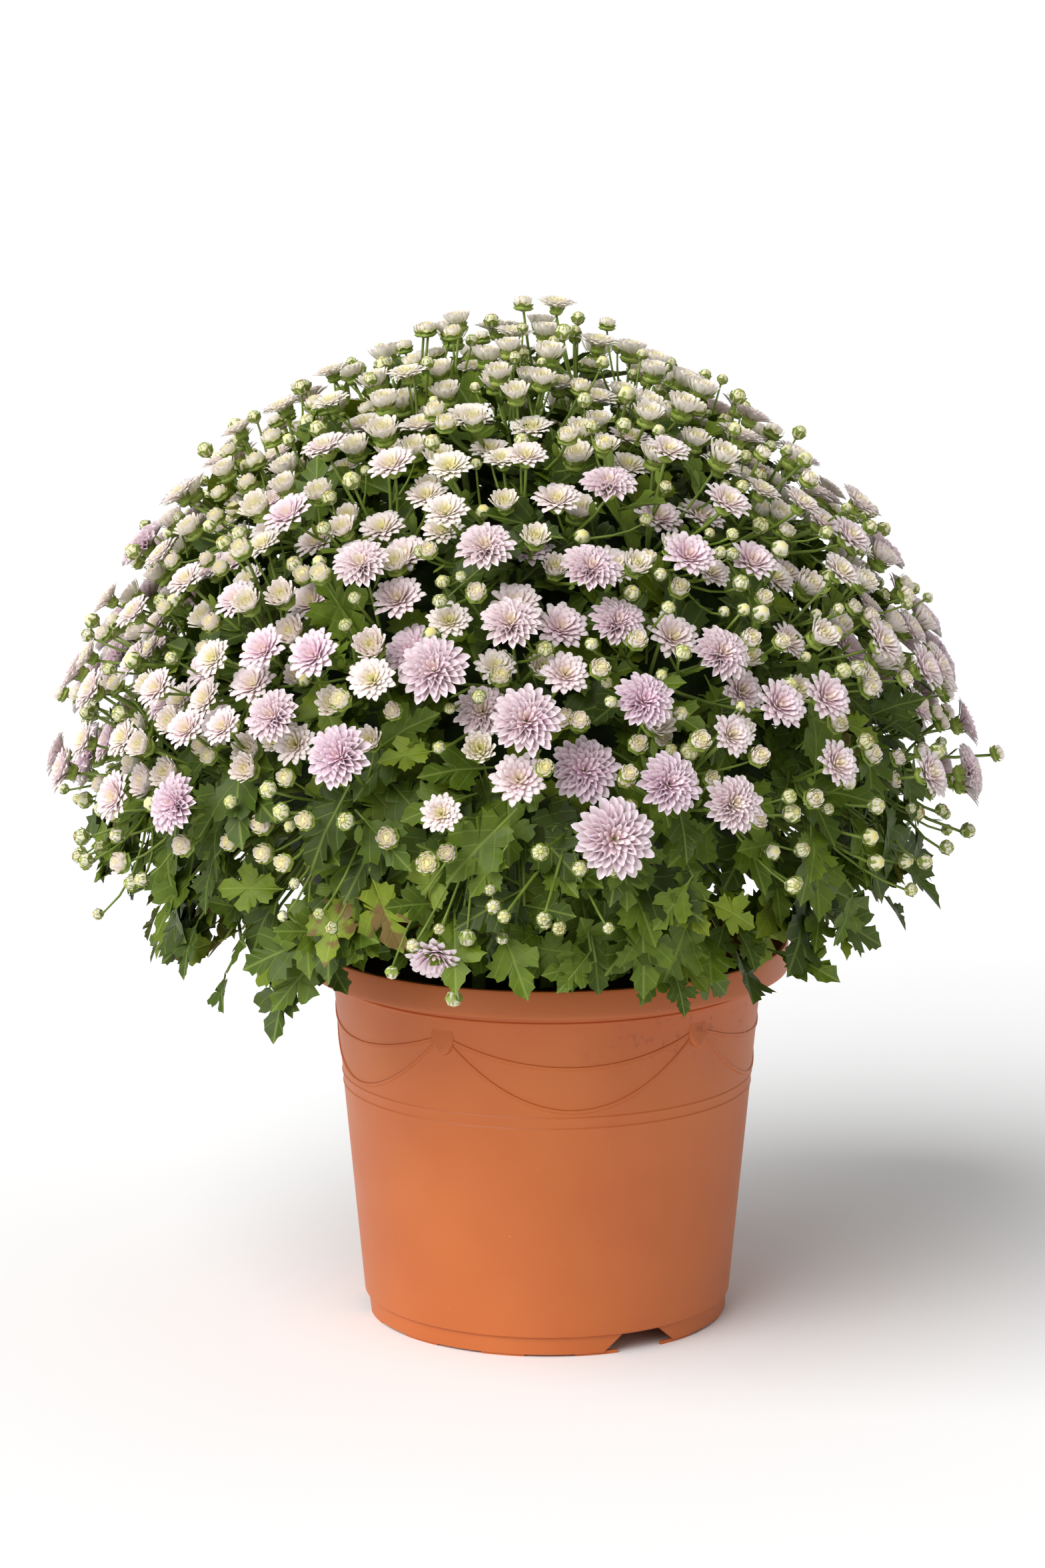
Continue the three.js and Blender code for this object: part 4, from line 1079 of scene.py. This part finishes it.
TEMPLATES = {
    "ray": petal_template("ray", 4, 5, 0.035, 0.14, 0.012),
    "short_ray": petal_template("short_ray", 3, 4, 0.02, 0.1, 0.05),
    "spoon": petal_template("spoon", 4, 4, -0.05, 0.26, 0.02),
    "cupped": petal_template("cupped", 3, 4, -0.13, 0.12, 0.05),
    "hooked": petal_template("hooked", 3, 4, -0.24, 0.12, 0.05),
    "stub": petal_template("stub", 3, 3, -0.2, 0.12, 0.05),
    "bract": petal_template("bract", 3, 3, -0.12, 0.1, 0.05),
    "wrap": petal_template("wrap", 3, 4, -0.3, 0.1, 0.06),
    "cup_ball": ball_template("cup_ball", 6, 4, ring=1.0),
    "bud_ball": ball_template("bud_ball", 6, 4),
}
BUD_BRACTS = 5

# %% Flower heads
# What each stage of flowering says of a head 1 across. Each pair gives a petal's value in the
# middle of the head and at its rim.
STAGE_FACTS = (
    "petals", "tip_radius", "tip_height", "root_radius", "root_height", "width",
    "spread", "shiver", "depth", "cup_radius", "templates",
)
STAGES = {
    "full": (
        88, (0.02, 0.5), (0.15, -0.03), (0.01, 0.06), (-0.02, -0.13), (0.05, 0.125),
        0.6, 0.05, 0.3, 0.15, ("cupped", "spoon", "ray", "ray"),
    ),
    "open": (
        58, (0.03, 0.5), (0.14, 0.01), (0.01, 0.07), (-0.04, -0.15), (0.07, 0.15),
        0.6, 0.05, 0.3, 0.17, ("stub", "cupped", "short_ray", "short_ray"),
    ),
    "cup": (
        42, (0.03, 0.48), (0.05, -0.01), (0.02, 0.16), (-0.3, -0.36), (0.09, 0.18),
        0.68, 0.04, 0.62, 0.3, ("stub", "hooked", "cupped"),
    ),
    "button": (
        26, (0.04, 0.36), (-0.02, -0.12), (0.03, 0.26), (-0.34, -0.4), (0.13, 0.22),
        0.74, 0.03, 0.62, 0.38, ("stub", "stub", "hooked"),
    ),
}
HEAD_BRACTS = 8
# How far a petal may stray: its tip's height, its place round the head, and its roll.
TIP_SHAKE = 0.03
AZIMUTH_SHAKE = 0.15
ROLL_SHAKE = 16


def petal_matrix(azimuth, root, tip, width, roll=0.0):
    """Stands a petal at an azimuth round the head's axis, from its root to its tip."""
    out, rise = tip[0] - root[0], tip[1] - root[1]
    length = math.hypot(out, rise)
    turn = Matrix.Rotation(azimuth, 4, "Z")
    place = Matrix.Translation((root[0], 0, root[1]))
    lean = Matrix.Rotation(math.atan2(out, rise), 4, "Y")
    # the petal's hollow side, +Y, is turned to face the head's axis
    inwards = Matrix.Rotation(math.radians(90) + roll, 4, "Z")
    return turn @ place @ lean @ inwards @ stretch(width, length, length)


def add_bracts(bm, depth, radius, rim_height):
    """A green cup under a head, from its neck up to where the petals leave it."""
    height = (rim_height + depth) / 2
    place = Matrix.Translation((0, 0, -depth + height))
    size = stretch(radius, radius, height * 0.96)
    add_copy(bm, TEMPLATES["cup_ball"], place @ size, 1, along=0.3)
    for i in range(HEAD_BRACTS):
        azimuth = i * 2 * math.pi / HEAD_BRACTS
        tip = (radius * 1.06, rim_height + 0.03 + 0.05 * (i % 2))
        root = (0.05, -depth + 0.01)
        matrix = petal_matrix(azimuth, root, tip, 2 * math.pi * radius / HEAD_BRACTS * 1.15)
        add_copy(bm, TEMPLATES["bract"], matrix, 1, ring=1.0)


def head_mesh(name, stage, seed):
    """All petals and bracts of one head, facing +Z."""
    facts = dict(zip(STAGE_FACTS, STAGES[stage]))
    kinds = facts["templates"]
    random = seeded(seed)
    bm = new_bmesh()
    for i in range(facts["petals"]):
        ring = (i + 0.5) / facts["petals"]
        shiver = 1 + facts["shiver"] * (2 * next(random) - 1)
        tip = (
            mix(*facts["tip_radius"], ring ** facts["spread"]) * shiver,
            mix(*facts["tip_height"], ring ** 1.4) + TIP_SHAKE * (next(random) - 0.5))
        root = (mix(*facts["root_radius"], ring), mix(*facts["root_height"], ring))
        width = mix(*facts["width"], ring ** 0.7) * (0.9 + 0.2 * next(random))
        azimuth = i * GOLDEN_ANGLE + AZIMUTH_SHAKE * (next(random) - 0.5)
        roll = math.radians(ROLL_SHAKE * (next(random) - 0.5))
        template = TEMPLATES[kinds[min(len(kinds) - 1, int(len(kinds) * ring))]]
        add_copy(bm, template, petal_matrix(azimuth, root, tip, width, roll), ring=ring)
    if stage == "button":
        place = Matrix.Translation((0, 0, -0.38))
        add_copy(bm, TEMPLATES["bud_ball"], place @ stretch(0.3, 0.3, 0.26), ring=0.15, along=0.6)
    add_bracts(bm, facts["depth"], facts["cup_radius"], facts["root_height"][1] + 0.04)
    return to_mesh(name, bm)


def bud_mesh(name, opening, seed):
    """A bud: a ball of cream petals, wrapped in bracts up to how far it has opened."""
    random = seeded(seed)
    bm = new_bmesh()
    ball = Matrix.Translation((0, 0, -0.42)) @ stretch(0.42, 0.42, 0.43)
    for vert in add_copy(bm, TEMPLATES["bud_ball"], ball):
        middle = smooth_step(-0.12, -0.02, vert.co.z)
        set_layers(bm, [vert], ring=mix(0.2, 0.0, middle), along=mix(0.62, 0.35, middle))
    tiers = (
        ("wrap", (mix(0.1, 0.42, opening), mix(0.0, -0.26, opening))),
        ("bract", (0.47, mix(-0.28, -0.46, opening))),
    )
    for tier, (kind, tip) in enumerate(tiers):
        for i in range(BUD_BRACTS):
            azimuth = (i + 0.5 * tier) * 2 * math.pi / BUD_BRACTS + 0.2 * next(random)
            matrix = petal_matrix(azimuth, (0.1, -0.86), tip, 0.58)
            add_copy(bm, TEMPLATES[kind], matrix, 1, ring=1.0)
    return to_mesh(name, bm)


def make_heads():
    heads = {
        stage: [head_mesh(f"{stage}_{i}", stage, 11 * i + 5) for i in range(versions)]
        for stage, versions in (("full", 4), ("open", 4), ("cup", 3), ("button", 3))
    }
    heads["bud"] = [bud_mesh(f"bud_{i}", share, i + 1) for i, share in enumerate((0.0, 0.12, 0.4))]
    return heads


HEADS = make_heads()
for stage, versions in HEADS.items():
    print(stage, "heads:", [len(mesh.polygons) for mesh in versions], "faces")

# %% [markdown]
# ## Flower sprays
# A spray is one stem that parts at a hub into the stalks of its heads. The stalks are bent
# tubes that arrive square to their heads, and side buds branch off them half way. Every spray
# is one piece for its solid. How ripe a head is follows its size and height: large low blooms
# are lilac, and the crown is nearly white, partly as younger heads and partly as painted light
# from above.

# %% Flower sprays
HUB_RADIUS = 2.3
STALK_RADII = (1.2, 0.8)
SIDE_STALK_RADII = (0.85, 0.6)
HEAD_GROWTH = 1.12
NECK_DEPTH = 0.94
CORE_REACH = 132
BRANCH_SHARE = 0.45
HEAD_TILT = 7
SMALL_LEAVES = (0.42, 0.66)
SMALL_LEAF_SHIFT = 0.1
SMALL_LEAF_LENGTHS = (7, 13)
SMALL_LEAF_WIDTH = 0.34
FULL_DIAMETER = 25
CUP_DIAMETER = 13.5
RIPE_DIAMETERS = (13, 29)
# Elevations over which heads grow paler: partly younger heads, partly painted light from above.
YOUTH_AND_TOP_LIGHT_ELEVATIONS = (25, 70)
# A head's ripeness: its least value, and what size, height and chance add to it or take off.
# The paling by height is partly for younger heads and partly painted light from above.
LEAST_RIPE = 0.12
RIPE_BY_SIZE = 0.85
PALE_BY_YOUTH_AND_TOP_LIGHT = 0.4
RIPE_BY_CHANCE = 0.4


def stage_of(diameter):
    if diameter >= FULL_DIAMETER:
        return "full"
    if diameter >= OPEN_DIAMETER:
        return "open"
    if diameter >= CUP_DIAMETER:
        return "cup"
    return "button" if diameter >= BUD_DIAMETER else "bud"


def ripeness(flower, draw):
    """How ripe a head is, from 0, cream, to 1, lilac pink, less painted top light on high heads."""
    grown = smooth_step(*RIPE_DIAMETERS, flower["diameter"])
    # Partly painted light: high heads are paled as if lit from above, as well as for being younger.
    height = smooth_step(*YOUTH_AND_TOP_LIGHT_ELEVATIONS, math.degrees(math.asin(flower["unit"][2])))
    ripe = LEAST_RIPE + RIPE_BY_SIZE * grown - PALE_BY_YOUTH_AND_TOP_LIGHT * height
    return max(0.0, min(1.0, ripe + RIPE_BY_CHANCE * (draw - 0.5)))


def tilted(facing, random):
    """The facing direction, leaning a few degrees to a drawn side."""
    side, up = across(facing)
    swing = 2 * math.pi * next(random)
    lean = math.tan(math.radians(HEAD_TILT)) * next(random)
    return unit_of(facing + lean * (math.cos(swing) * side + math.sin(swing) * up))


def add_head(bm, flower, random):
    """Places a head on its flower's place and returns where its neck is and how it faces."""
    facing = tilted(flower["facing"], random)
    versions = HEADS[stage_of(flower["diameter"])]
    template = versions[int(next(random) * len(versions))]
    spin = Matrix.Rotation(2 * math.pi * next(random), 4, "Z")
    size = Matrix.Scale(flower["diameter"] * HEAD_GROWTH, 4)
    matrix = Matrix.Translation(Vector(flower["centre"])) @ aimed(facing) @ spin @ size
    add_copy(bm, template, matrix, ripe=ripeness(flower, next(random)))
    depth = flower["depth"] * NECK_DEPTH
    return Vector(flower["centre"] - facing * depth), Vector(facing)


def stalk_curve(start, neck, facing):
    """A curve from a start to a neck, which it reaches along the head's facing direction."""
    length = (neck - start).length
    middle = (start + neck) / 2
    return start, middle.lerp(neck - facing * length * 0.5, 0.45), neck


def add_small_leaf(bm, points, share, random):
    """A narrow bract leaf on a stalk."""
    root = curve_point(points, share)
    along_stalk = (points[2] - points[0]).normalized()
    side = along_stalk.orthogonal().normalized()
    side.rotate(Matrix.Rotation(2 * math.pi * next(random), 3, along_stalk))
    aim = (along_stalk * 0.8 + side * 0.7).normalized()
    length = mix(*SMALL_LEAF_LENGTHS, next(random))
    size = stretch(length * SMALL_LEAF_WIDTH, length, length)
    matrix = Matrix.Translation(root) @ aimed(aim) @ size
    add_copy(bm, TEMPLATES["bract"], matrix, 2, tint=next(random))


def build_spray(index, flowers, sides):
    random = seeded(900 + index)
    middle = SPRAY_UNITS[index]
    hub = Vector(from_centre(middle, HUB_REACH))
    root = Vector(from_centre(middle, CORE_REACH))
    bm = new_bmesh()
    end = hub + Vector(middle) * 2
    add_tube(bm, STALK_TUBE, (root, (root + end) / 2, end), (HUB_RADIUS, HUB_RADIUS), 1)
    curves = {}
    for flower in flowers:
        neck, facing = add_head(bm, flower, random)
        points = stalk_curve(hub, neck, facing)
        add_tube(bm, STALK_TUBE, points, STALK_RADII, 1)
        curves[id(flower)] = points
        for share in SMALL_LEAVES:
            add_small_leaf(bm, points, share + SMALL_LEAF_SHIFT * next(random), random)
    for side in sides:
        neck, facing = add_head(bm, side, random)
        start = curve_point(curves[id(side["carrier"])], BRANCH_SHARE)
        add_tube(bm, STALK_TUBE, stalk_curve(start, neck, facing), SIDE_STALK_RADII, 1)
    finish_piece(
        f"spray_{index + 1}", bm, [PETAL, GREEN, LEAF], f"flower_spray_{index + 1}")


def build_sprays():
    for index in range(len(SPRAY_UNITS)):
        flowers = [flower for flower in FLOWERS if flower["spray"] == index]
        sides = [side for side in SIDE_HEADS if side["spray"] == index]
        build_spray(index, flowers, sides)


build_sprays()
spray_counts = [count for name, count in piece_triangles.items() if name.startswith("spray")]
print("sprays:", len(spray_counts), "with", sum(spray_counts), "triangles in all")

# %% [markdown]
# ## Leaves
# A chrysanthemum leaf has a wedge-shaped base and a broad outer half cut into toothed lobes.
# A cone with a flat cap gives one closed lens of triangles: its rim is moved onto the leaf's
# outline, point by point, and the whole is folded along the midrib, arched and rippled. That
# costs few triangles, which counts with over a thousand leaves, as long as every point of the
# outline can be seen from the blade's middle. Each point keeps its place for the veins.

# %% Leaf shapes
# Half of an outline, from the stalk to the tip: along the blade, and across it from the midrib.
LEAF_OUTLINES = {
    "five": (
        (0.0, 0.015), (0.12, 0.02), (0.2, 0.09), (0.19, 0.19), (0.24, 0.22), (0.25, 0.29),
        (0.31, 0.25), (0.36, 0.26), (0.45, 0.14), (0.41, 0.23), (0.43, 0.31), (0.48, 0.33),
        (0.5, 0.43), (0.56, 0.4), (0.62, 0.46), (0.65, 0.37), (0.71, 0.34), (0.69, 0.25),
        (0.64, 0.13), (0.72, 0.16), (0.78, 0.22), (0.82, 0.17), (0.89, 0.17), (0.92, 0.09),
    ),
    "three": (
        (0.0, 0.015), (0.12, 0.02), (0.26, 0.07), (0.3, 0.16), (0.37, 0.19), (0.38, 0.28),
        (0.45, 0.29), (0.49, 0.41), (0.55, 0.38), (0.61, 0.45), (0.65, 0.36), (0.71, 0.33),
        (0.69, 0.24), (0.63, 0.13), (0.72, 0.16), (0.78, 0.22), (0.82, 0.17), (0.89, 0.17),
        (0.92, 0.09),
    ),
}
LEAF_MIDDLE = 0.55
LEAF_VERSIONS = 6
LEAF_THICKNESS = 0.04
LEAF_FOLD = 0.22
LEAF_ARCH = 0.2
LEAF_WAVE = 0.035
RIM_JITTER = 0.02


def leaf_template(name, kind, seed):
    """A lobed blade 1 long along +X and 1 wide across Y, with its upper side towards +Z."""
    random = seeded(seed)
    half = LEAF_OUTLINES[kind]
    rim = [(x, y) for x, y in half] + [(1.0, 0.0)] + [(x, -y) for x, y in reversed(half)]
    rim = [
        (x + RIM_JITTER * (next(random) - 0.5), y * (0.9 + 0.25 * next(random))) for x, y in rim]
    bm = new_bmesh()
    bmesh.ops.create_cone(
        bm, cap_ends=True, cap_tris=True, segments=len(rim), radius1=1, radius2=0, depth=1)
    bmesh.ops.remove_doubles(bm, verts=bm.verts, dist=MERGE_DISTANCE)
    blade_x = bm.verts.layers.float["blade_x"]
    blade_y = bm.verts.layers.float["blade_y"]
    corners = [vert for vert in bm.verts if math.hypot(vert.co.x, vert.co.y) > 0.5]
    corners.sort(key=lambda vert: math.atan2(vert.co.y, vert.co.x))
    for edge in bm.edges:
        edge.smooth = not all(vert in corners for vert in edge.verts)
    for vert in bm.verts:
        vert.co = Vector((LEAF_MIDDLE, 0, math.copysign(LEAF_THICKNESS / 2, vert.co.z)))
    for vert, (x, y) in zip(corners, rim):
        vert.co = Vector((x, -y, 0))
    bmesh.ops.recalc_face_normals(bm, faces=bm.faces)
    for vert in bm.verts:
        x, y = vert.co.x, vert.co.y
        vert[blade_x] = x
        vert[blade_y] = y
        fold = LEAF_FOLD * abs(y)
        arch = -LEAF_ARCH * x * x
        wave = LEAF_WAVE * math.sin(9 * x + 5 * y + seed) * min(1, 4 * abs(y))
        vert.co.z += fold + arch + wave
    return to_mesh(name, bm)


LEAVES = {
    kind: [leaf_template(f"leaf_{kind}_{i}", kind, 31 * i + 7) for i in range(LEAF_VERSIONS)]
    for kind in LEAF_OUTLINES
}
print("leaf faces:", {kind: len(found[0].polygons) for kind, found in LEAVES.items()})

# %% [markdown]
# ## Leafy stems
# The plant's green body is shared by eight stems, each with the leaves of its own sector.
# Leaves are drawn at random through the layer under the flowers, each pointing outwards and
# drooping more the lower it is, and one is left out where it would cut a flower head. Side
# shoots of the skirt follow the solid model's rule. A dark lumpy body inside each sector
# stands for the crowded stems and inner leaves that only show as shadow.

# %% Leafy stems
STEM_COUNT = 8
STEM_CIRCLE_RADIUS = 42
STEM_FOOT_HEIGHT = 137.3
STEM_TOP_HEIGHT = 200
STEM_RADII = (5, 4)
LEAF_LENGTH = 44
LEAF_WIDTH = 33
LEAVES_PER_STEM = 140
LEAF_TRIES = 640
LEAF_SEED = 500
LEAF_LOW = -24
LEAF_REACH = (136, 186)
LEAF_LEANS = (8, 62)
LEAF_SIZES = (0.55, 1.05)
LEAF_TOP_SINE = 0.99
LEAF_SECTOR = 400
LEAF_DROOP = 0.55
LEAF_DROOP_ELEVATIONS = (-10, 45)
LEAF_LIFT = 0.5
FIVE_LOBED_SHARE = 0.6
SKIRT_ELEVATIONS = (-5, 22)
SKIRT_LEAF_REACH = 16
LEAF_FARTHEST = 210
# Leaves below this elevation hang on a stalk that comes down to them from inside the bush.
LEAF_STALK_BELOW = -2
LEAF_STALK_REACH = 66
LEAF_STALK_RISE = 13
LEAF_STALK_RADII = (1.2, 0.7)
POT_CLEARANCE = 2
# Leaves in front of the pot end near its rim: how far they hang over it, seen from the front.
RIM_OVERHANG = 7
SIGHT_SLOPE = 0.24
# The edge of the skirt beside the pot: which side, how high it is there, and how it rises.
SKIRT_EDGES = ((1, 184, 0.27), (-1, 156, 0.52))
SKIRT_EDGE_START = 106
SHOOT_SEED = 300
SHOOT_OFFSETS = (-14, 0, 14)
SHOOT_BEARING_SPREAD = 4
SHOOT_ELEVATION = -15
SHOOT_ELEVATION_SPREAD = 16
SHOOT_REACH = 180
SHOOT_REACH_SPREAD = 18
SHOOT_ROOT_REACH = 120
SHOOT_DROOP = 34
SHOOT_ARCH = 6
SHOOT_LEAF_SHAKE = 0.25
SHOOT_RADII = (1.9, 1.1)
SHORT_TIP_LEAF = 0.5
SHOOT_LEAVES = (
    ("five", 1.0, 0.0, 0.9), ("three", 0.72, 0.9, 0.74), ("three", 0.44, -0.9, 0.8),
    ("three", 0.86, -0.8, 0.6), ("five", 0.58, -1.1, 0.66), ("three", 0.3, 0.8, 0.7),
)
LUMP_RADII = (74, 66, 92)
LUMP_OUT = 58
LUMP_RISE = 28
LUMP_BUMPS = ((11, 9), (26, 7))
HEAD_CENTRES = np.array([flower["centre"] for flower in FLOWERS + SIDE_HEADS])
HEAD_FACINGS = np.array([flower["facing"] for flower in FLOWERS + SIDE_HEADS])
HEAD_SIZES = np.array([flower["diameter"] for flower in FLOWERS + SIDE_HEADS])


def stem_bearing(index):
    return (index + 0.5) * 360 / STEM_COUNT


def in_a_head(points):
    """Whether any point lies in a flower head."""
    offsets = points[:, None, :] - HEAD_CENTRES[None]
    heights = (offsets * HEAD_FACINGS[None]).sum(axis=2)
    asides = np.sqrt(np.maximum(0, (offsets ** 2).sum(axis=2) - heights ** 2))
    inside = (asides < HEAD_SIZES / 2 + 1) & (heights < 0.2 * HEAD_SIZES)
    return bool(np.any(inside & (heights > -0.5 * HEAD_SIZES)))


def leaf_axes(along, facing, size):
    """Which way a leaf's length, its width and its upper side point, and how far."""
    aside = unit_of(np.cross(facing, along))
    length = LEAF_LENGTH * size
    return along * length, aside * (LEAF_WIDTH * size), np.cross(along, aside) * length


def leaf_points(root, length, width):
    """A few points of a leaf: along its midrib and at its widest lobes."""
    places = ((0.3, 0), (0.6, 0), (1, 0), (0.6, 0.4), (0.6, -0.4))
    return np.array([root + length * x + width * y for x, y in places])


def hides_rim(points):
    """Whether a blade in front of the pot hangs down over its rim."""
    heights = points[:, 2] + (points[:, 1] + RIM_RADIUS) * SIGHT_SLOPE
    ahead = (np.abs(points[:, 0] - POT_AXIS_X) < RIM_RADIUS) & (points[:, 1] < 0)
    return bool((ahead & (heights < POT_HEIGHT - RIM_OVERHANG)).any())


def hangs_low(points):
    """Whether a blade beside the pot hangs lower than the edge of the skirt."""
    for side, low, slope in SKIRT_EDGES:
        out = side * points[:, 0] - SKIRT_EDGE_START
        if ((out > 0) & (points[:, 2] < low + slope * out)).any():
            return True
    return False


def leaf_fits(root, axes):
    """Whether a leaf stays clear of the heads, the pot and the dome's outside."""
    points = leaf_points(root, *axes[:2])
    far = np.linalg.norm(points - BUSH_CENTRE, axis=1).max() > LEAF_FARTHEST
    if far or hides_rim(points) or hangs_low(points):
        return False
    flat = np.hypot(points[:, 0] - POT_AXIS_X, points[:, 1])
    near_pot = (flat < RIM_RADIUS + POT_CLEARANCE) & (points[:, 2] < POT_HEIGHT + POT_CLEARANCE)
    return not near_pot.any() and not in_a_head(points)


def add_leaf(bm, kind, root, axes, random):
    versions = LEAVES[kind]
    template = versions[int(next(random) * len(versions))]
    matrix = Matrix(np.column_stack([*axes, root]).tolist() + [[0, 0, 0, 1]])
    add_copy(bm, template, matrix, tint=next(random))


def add_leaf_stalk(bm, bearing, elevation, reach_out):
    """A stalk that comes down to a low leaf from inside the bush."""
    places = ((1, LEAF_STALK_REACH), (0.5, LEAF_STALK_REACH / 3), (0, 0))
    points = [
        Vector(from_centre(direction(bearing, elevation + LEAF_STALK_RISE * rise), reach_out - back))
        for rise, back in places
    ]
    add_tube(bm, LEAF_TUBE, points, LEAF_STALK_RADII, 1)


def add_dome_leaves(bm, index, random):
    """The leaves of one sector, in the layer under the flowers."""
    low = math.sin(math.radians(LEAF_LOW))
    kept = 0
    for _ in range(LEAF_TRIES):
        bearing = stem_bearing(index) + (next(random) - 0.5) * LEAF_SECTOR / STEM_COUNT
        elevation = math.degrees(math.asin(low + next(random) * (LEAF_TOP_SINE - low)))
        lean = math.radians(mix(*LEAF_LEANS, next(random)))
        spin = 2 * math.pi * next(random)
        size = mix(*LEAF_SIZES, next(random))
        root_reach = mix(*LEAF_REACH, next(random) ** 0.8)
        root_reach += SKIRT_LEAF_REACH * (1 - smooth_step(*SKIRT_ELEVATIONS, elevation))
        kind = "five" if next(random) < FIVE_LOBED_SHARE else "three"
        unit = direction(bearing, elevation)
        side, up = across(unit)
        flat = math.cos(spin) * side + math.sin(spin) * up
        droop = LEAF_DROOP * (1 - smooth_step(*LEAF_DROOP_ELEVATIONS, elevation))
        along = unit_of(
            flat * math.cos(lean) + unit * math.sin(lean) - np.array([0, 0, droop]))
        facing = unit_of(unit + np.array([0, 0, LEAF_LIFT]))
        root = from_centre(unit, root_reach)
        axes = leaf_axes(along, facing, size)
        if kept < LEAVES_PER_STEM and leaf_fits(root, axes):
            add_leaf(bm, kind, root, axes, random)
            if elevation < LEAF_STALK_BELOW:
                add_leaf_stalk(bm, bearing, elevation, root_reach)
            kept += 1
    return kept


def add_shoot(bm, index, offset, draws, random):
    """A side shoot of the skirt, with a leaf at its tip and leaves along it."""
    bearing = stem_bearing(index) + offset + SHOOT_BEARING_SPREAD * (next(draws) - 0.5)
    elevation = SHOOT_ELEVATION + SHOOT_ELEVATION_SPREAD * (next(draws) - 0.5)
    tip_reach = SHOOT_REACH + SHOOT_REACH_SPREAD * (next(draws) - 0.5)
    unit = direction(bearing, elevation)
    hanging = direction(bearing, elevation - SHOOT_DROOP)
    side, _ = across(unit)
    root = Vector(from_centre(unit, SHOOT_ROOT_REACH))
    tip = Vector(from_centre(unit, tip_reach))
    points = (root, (root + tip) / 2 + Vector((0, 0, SHOOT_ARCH)), tip)
    add_tube(bm, STALK_TUBE, points, SHOOT_RADII, 1)
    facing = unit_of(np.array([0, 0, 1]) + 0.7 * unit)
    for kind, share, turn, size in SHOOT_LEAVES:
        start = np.array(curve_point(points, share))
        along = unit_of(hanging + side * turn + SHOOT_LEAF_SHAKE * (next(random) - 0.5))
        midrib = leaf_points(start, along * LEAF_LENGTH, np.zeros(3))
        if share == 1 and (hides_rim(midrib) or hangs_low(midrib)):
            size = SHORT_TIP_LEAF
        axes = leaf_axes(along, facing, size)
        if share == 1 or leaf_fits(start, axes):
            add_leaf(bm, kind, start, axes, random)


def lump_template():
    bm = new_bmesh()
    bmesh.ops.create_icosphere(bm, subdivisions=4, radius=1)
    return to_mesh("lump", bm)


LUMP = lump_template()


def add_lump(bm, index):
    """The inside of a sector: a rounded body with a leafy, uneven surface, dark with painted shade."""
    bearing = stem_bearing(index)
    centre = Vector(
        BUSH_CENTRE + direction(bearing, 0) * LUMP_OUT + np.array([0, 0, LUMP_RISE]))
    matrix = Matrix.Translation(centre) @ rotation(bearing) @ stretch(*LUMP_RADII)
    for vert in add_copy(bm, LUMP, matrix, 2):
        outwards = (vert.co - centre).normalized()
        vert.co += outwards * bumps(vert.co, LUMP_BUMPS)


def build_leafy_stem(index):
    random = seeded(LEAF_SEED + index)
    draws = seeded(SHOOT_SEED + index)
    bm = new_bmesh()
    x, y, _ = from_centre(direction(stem_bearing(index), 0), STEM_CIRCLE_RADIUS)
    foot = Vector((x, y, STEM_FOOT_HEIGHT))
    top = Vector((x, y, STEM_TOP_HEIGHT))
    add_tube(bm, STALK_TUBE, (foot, (foot + top) / 2, top), STEM_RADII, 1)
    add_lump(bm, index)
    kept = add_dome_leaves(bm, index, random)
    for offset in SHOOT_OFFSETS:
        add_shoot(bm, index, offset, draws, random)
    finish_piece(
        f"leaves_{index + 1}", bm, [LEAF, GREEN, SHADE], f"leafy_stem_{index + 1}")
    return kept


leaf_counts = [build_leafy_stem(index) for index in range(STEM_COUNT)]
print("dome leaves:", leaf_counts)

# %% [markdown]
# ## Floor and hand-over
# A wide pale board carries the pot and isn't part of it.

# %% Floor and hand-over
FLOOR_HALF_WIDTH = 30


def add_floor():
    bm = bmesh.new()
    bmesh.ops.create_grid(bm, x_segments=2, y_segments=2, size=FLOOR_HALF_WIDTH)
    floor = add_object("floor_board", to_mesh("floor_board", bm))
    floor.data.materials.append(BOARD)


def drop_templates():
    """Removes the meshes that only served to be copied."""
    for mesh in set(bpy.data.meshes) - cad_meshes:
        if mesh.users == 0:
            bpy.data.meshes.remove(mesh)


add_floor()
drop_templates()
bpy.context.view_layer.update()


print("triangles in all:", sum(piece_triangles.values()), "largest:", max(piece_triangles.values()))
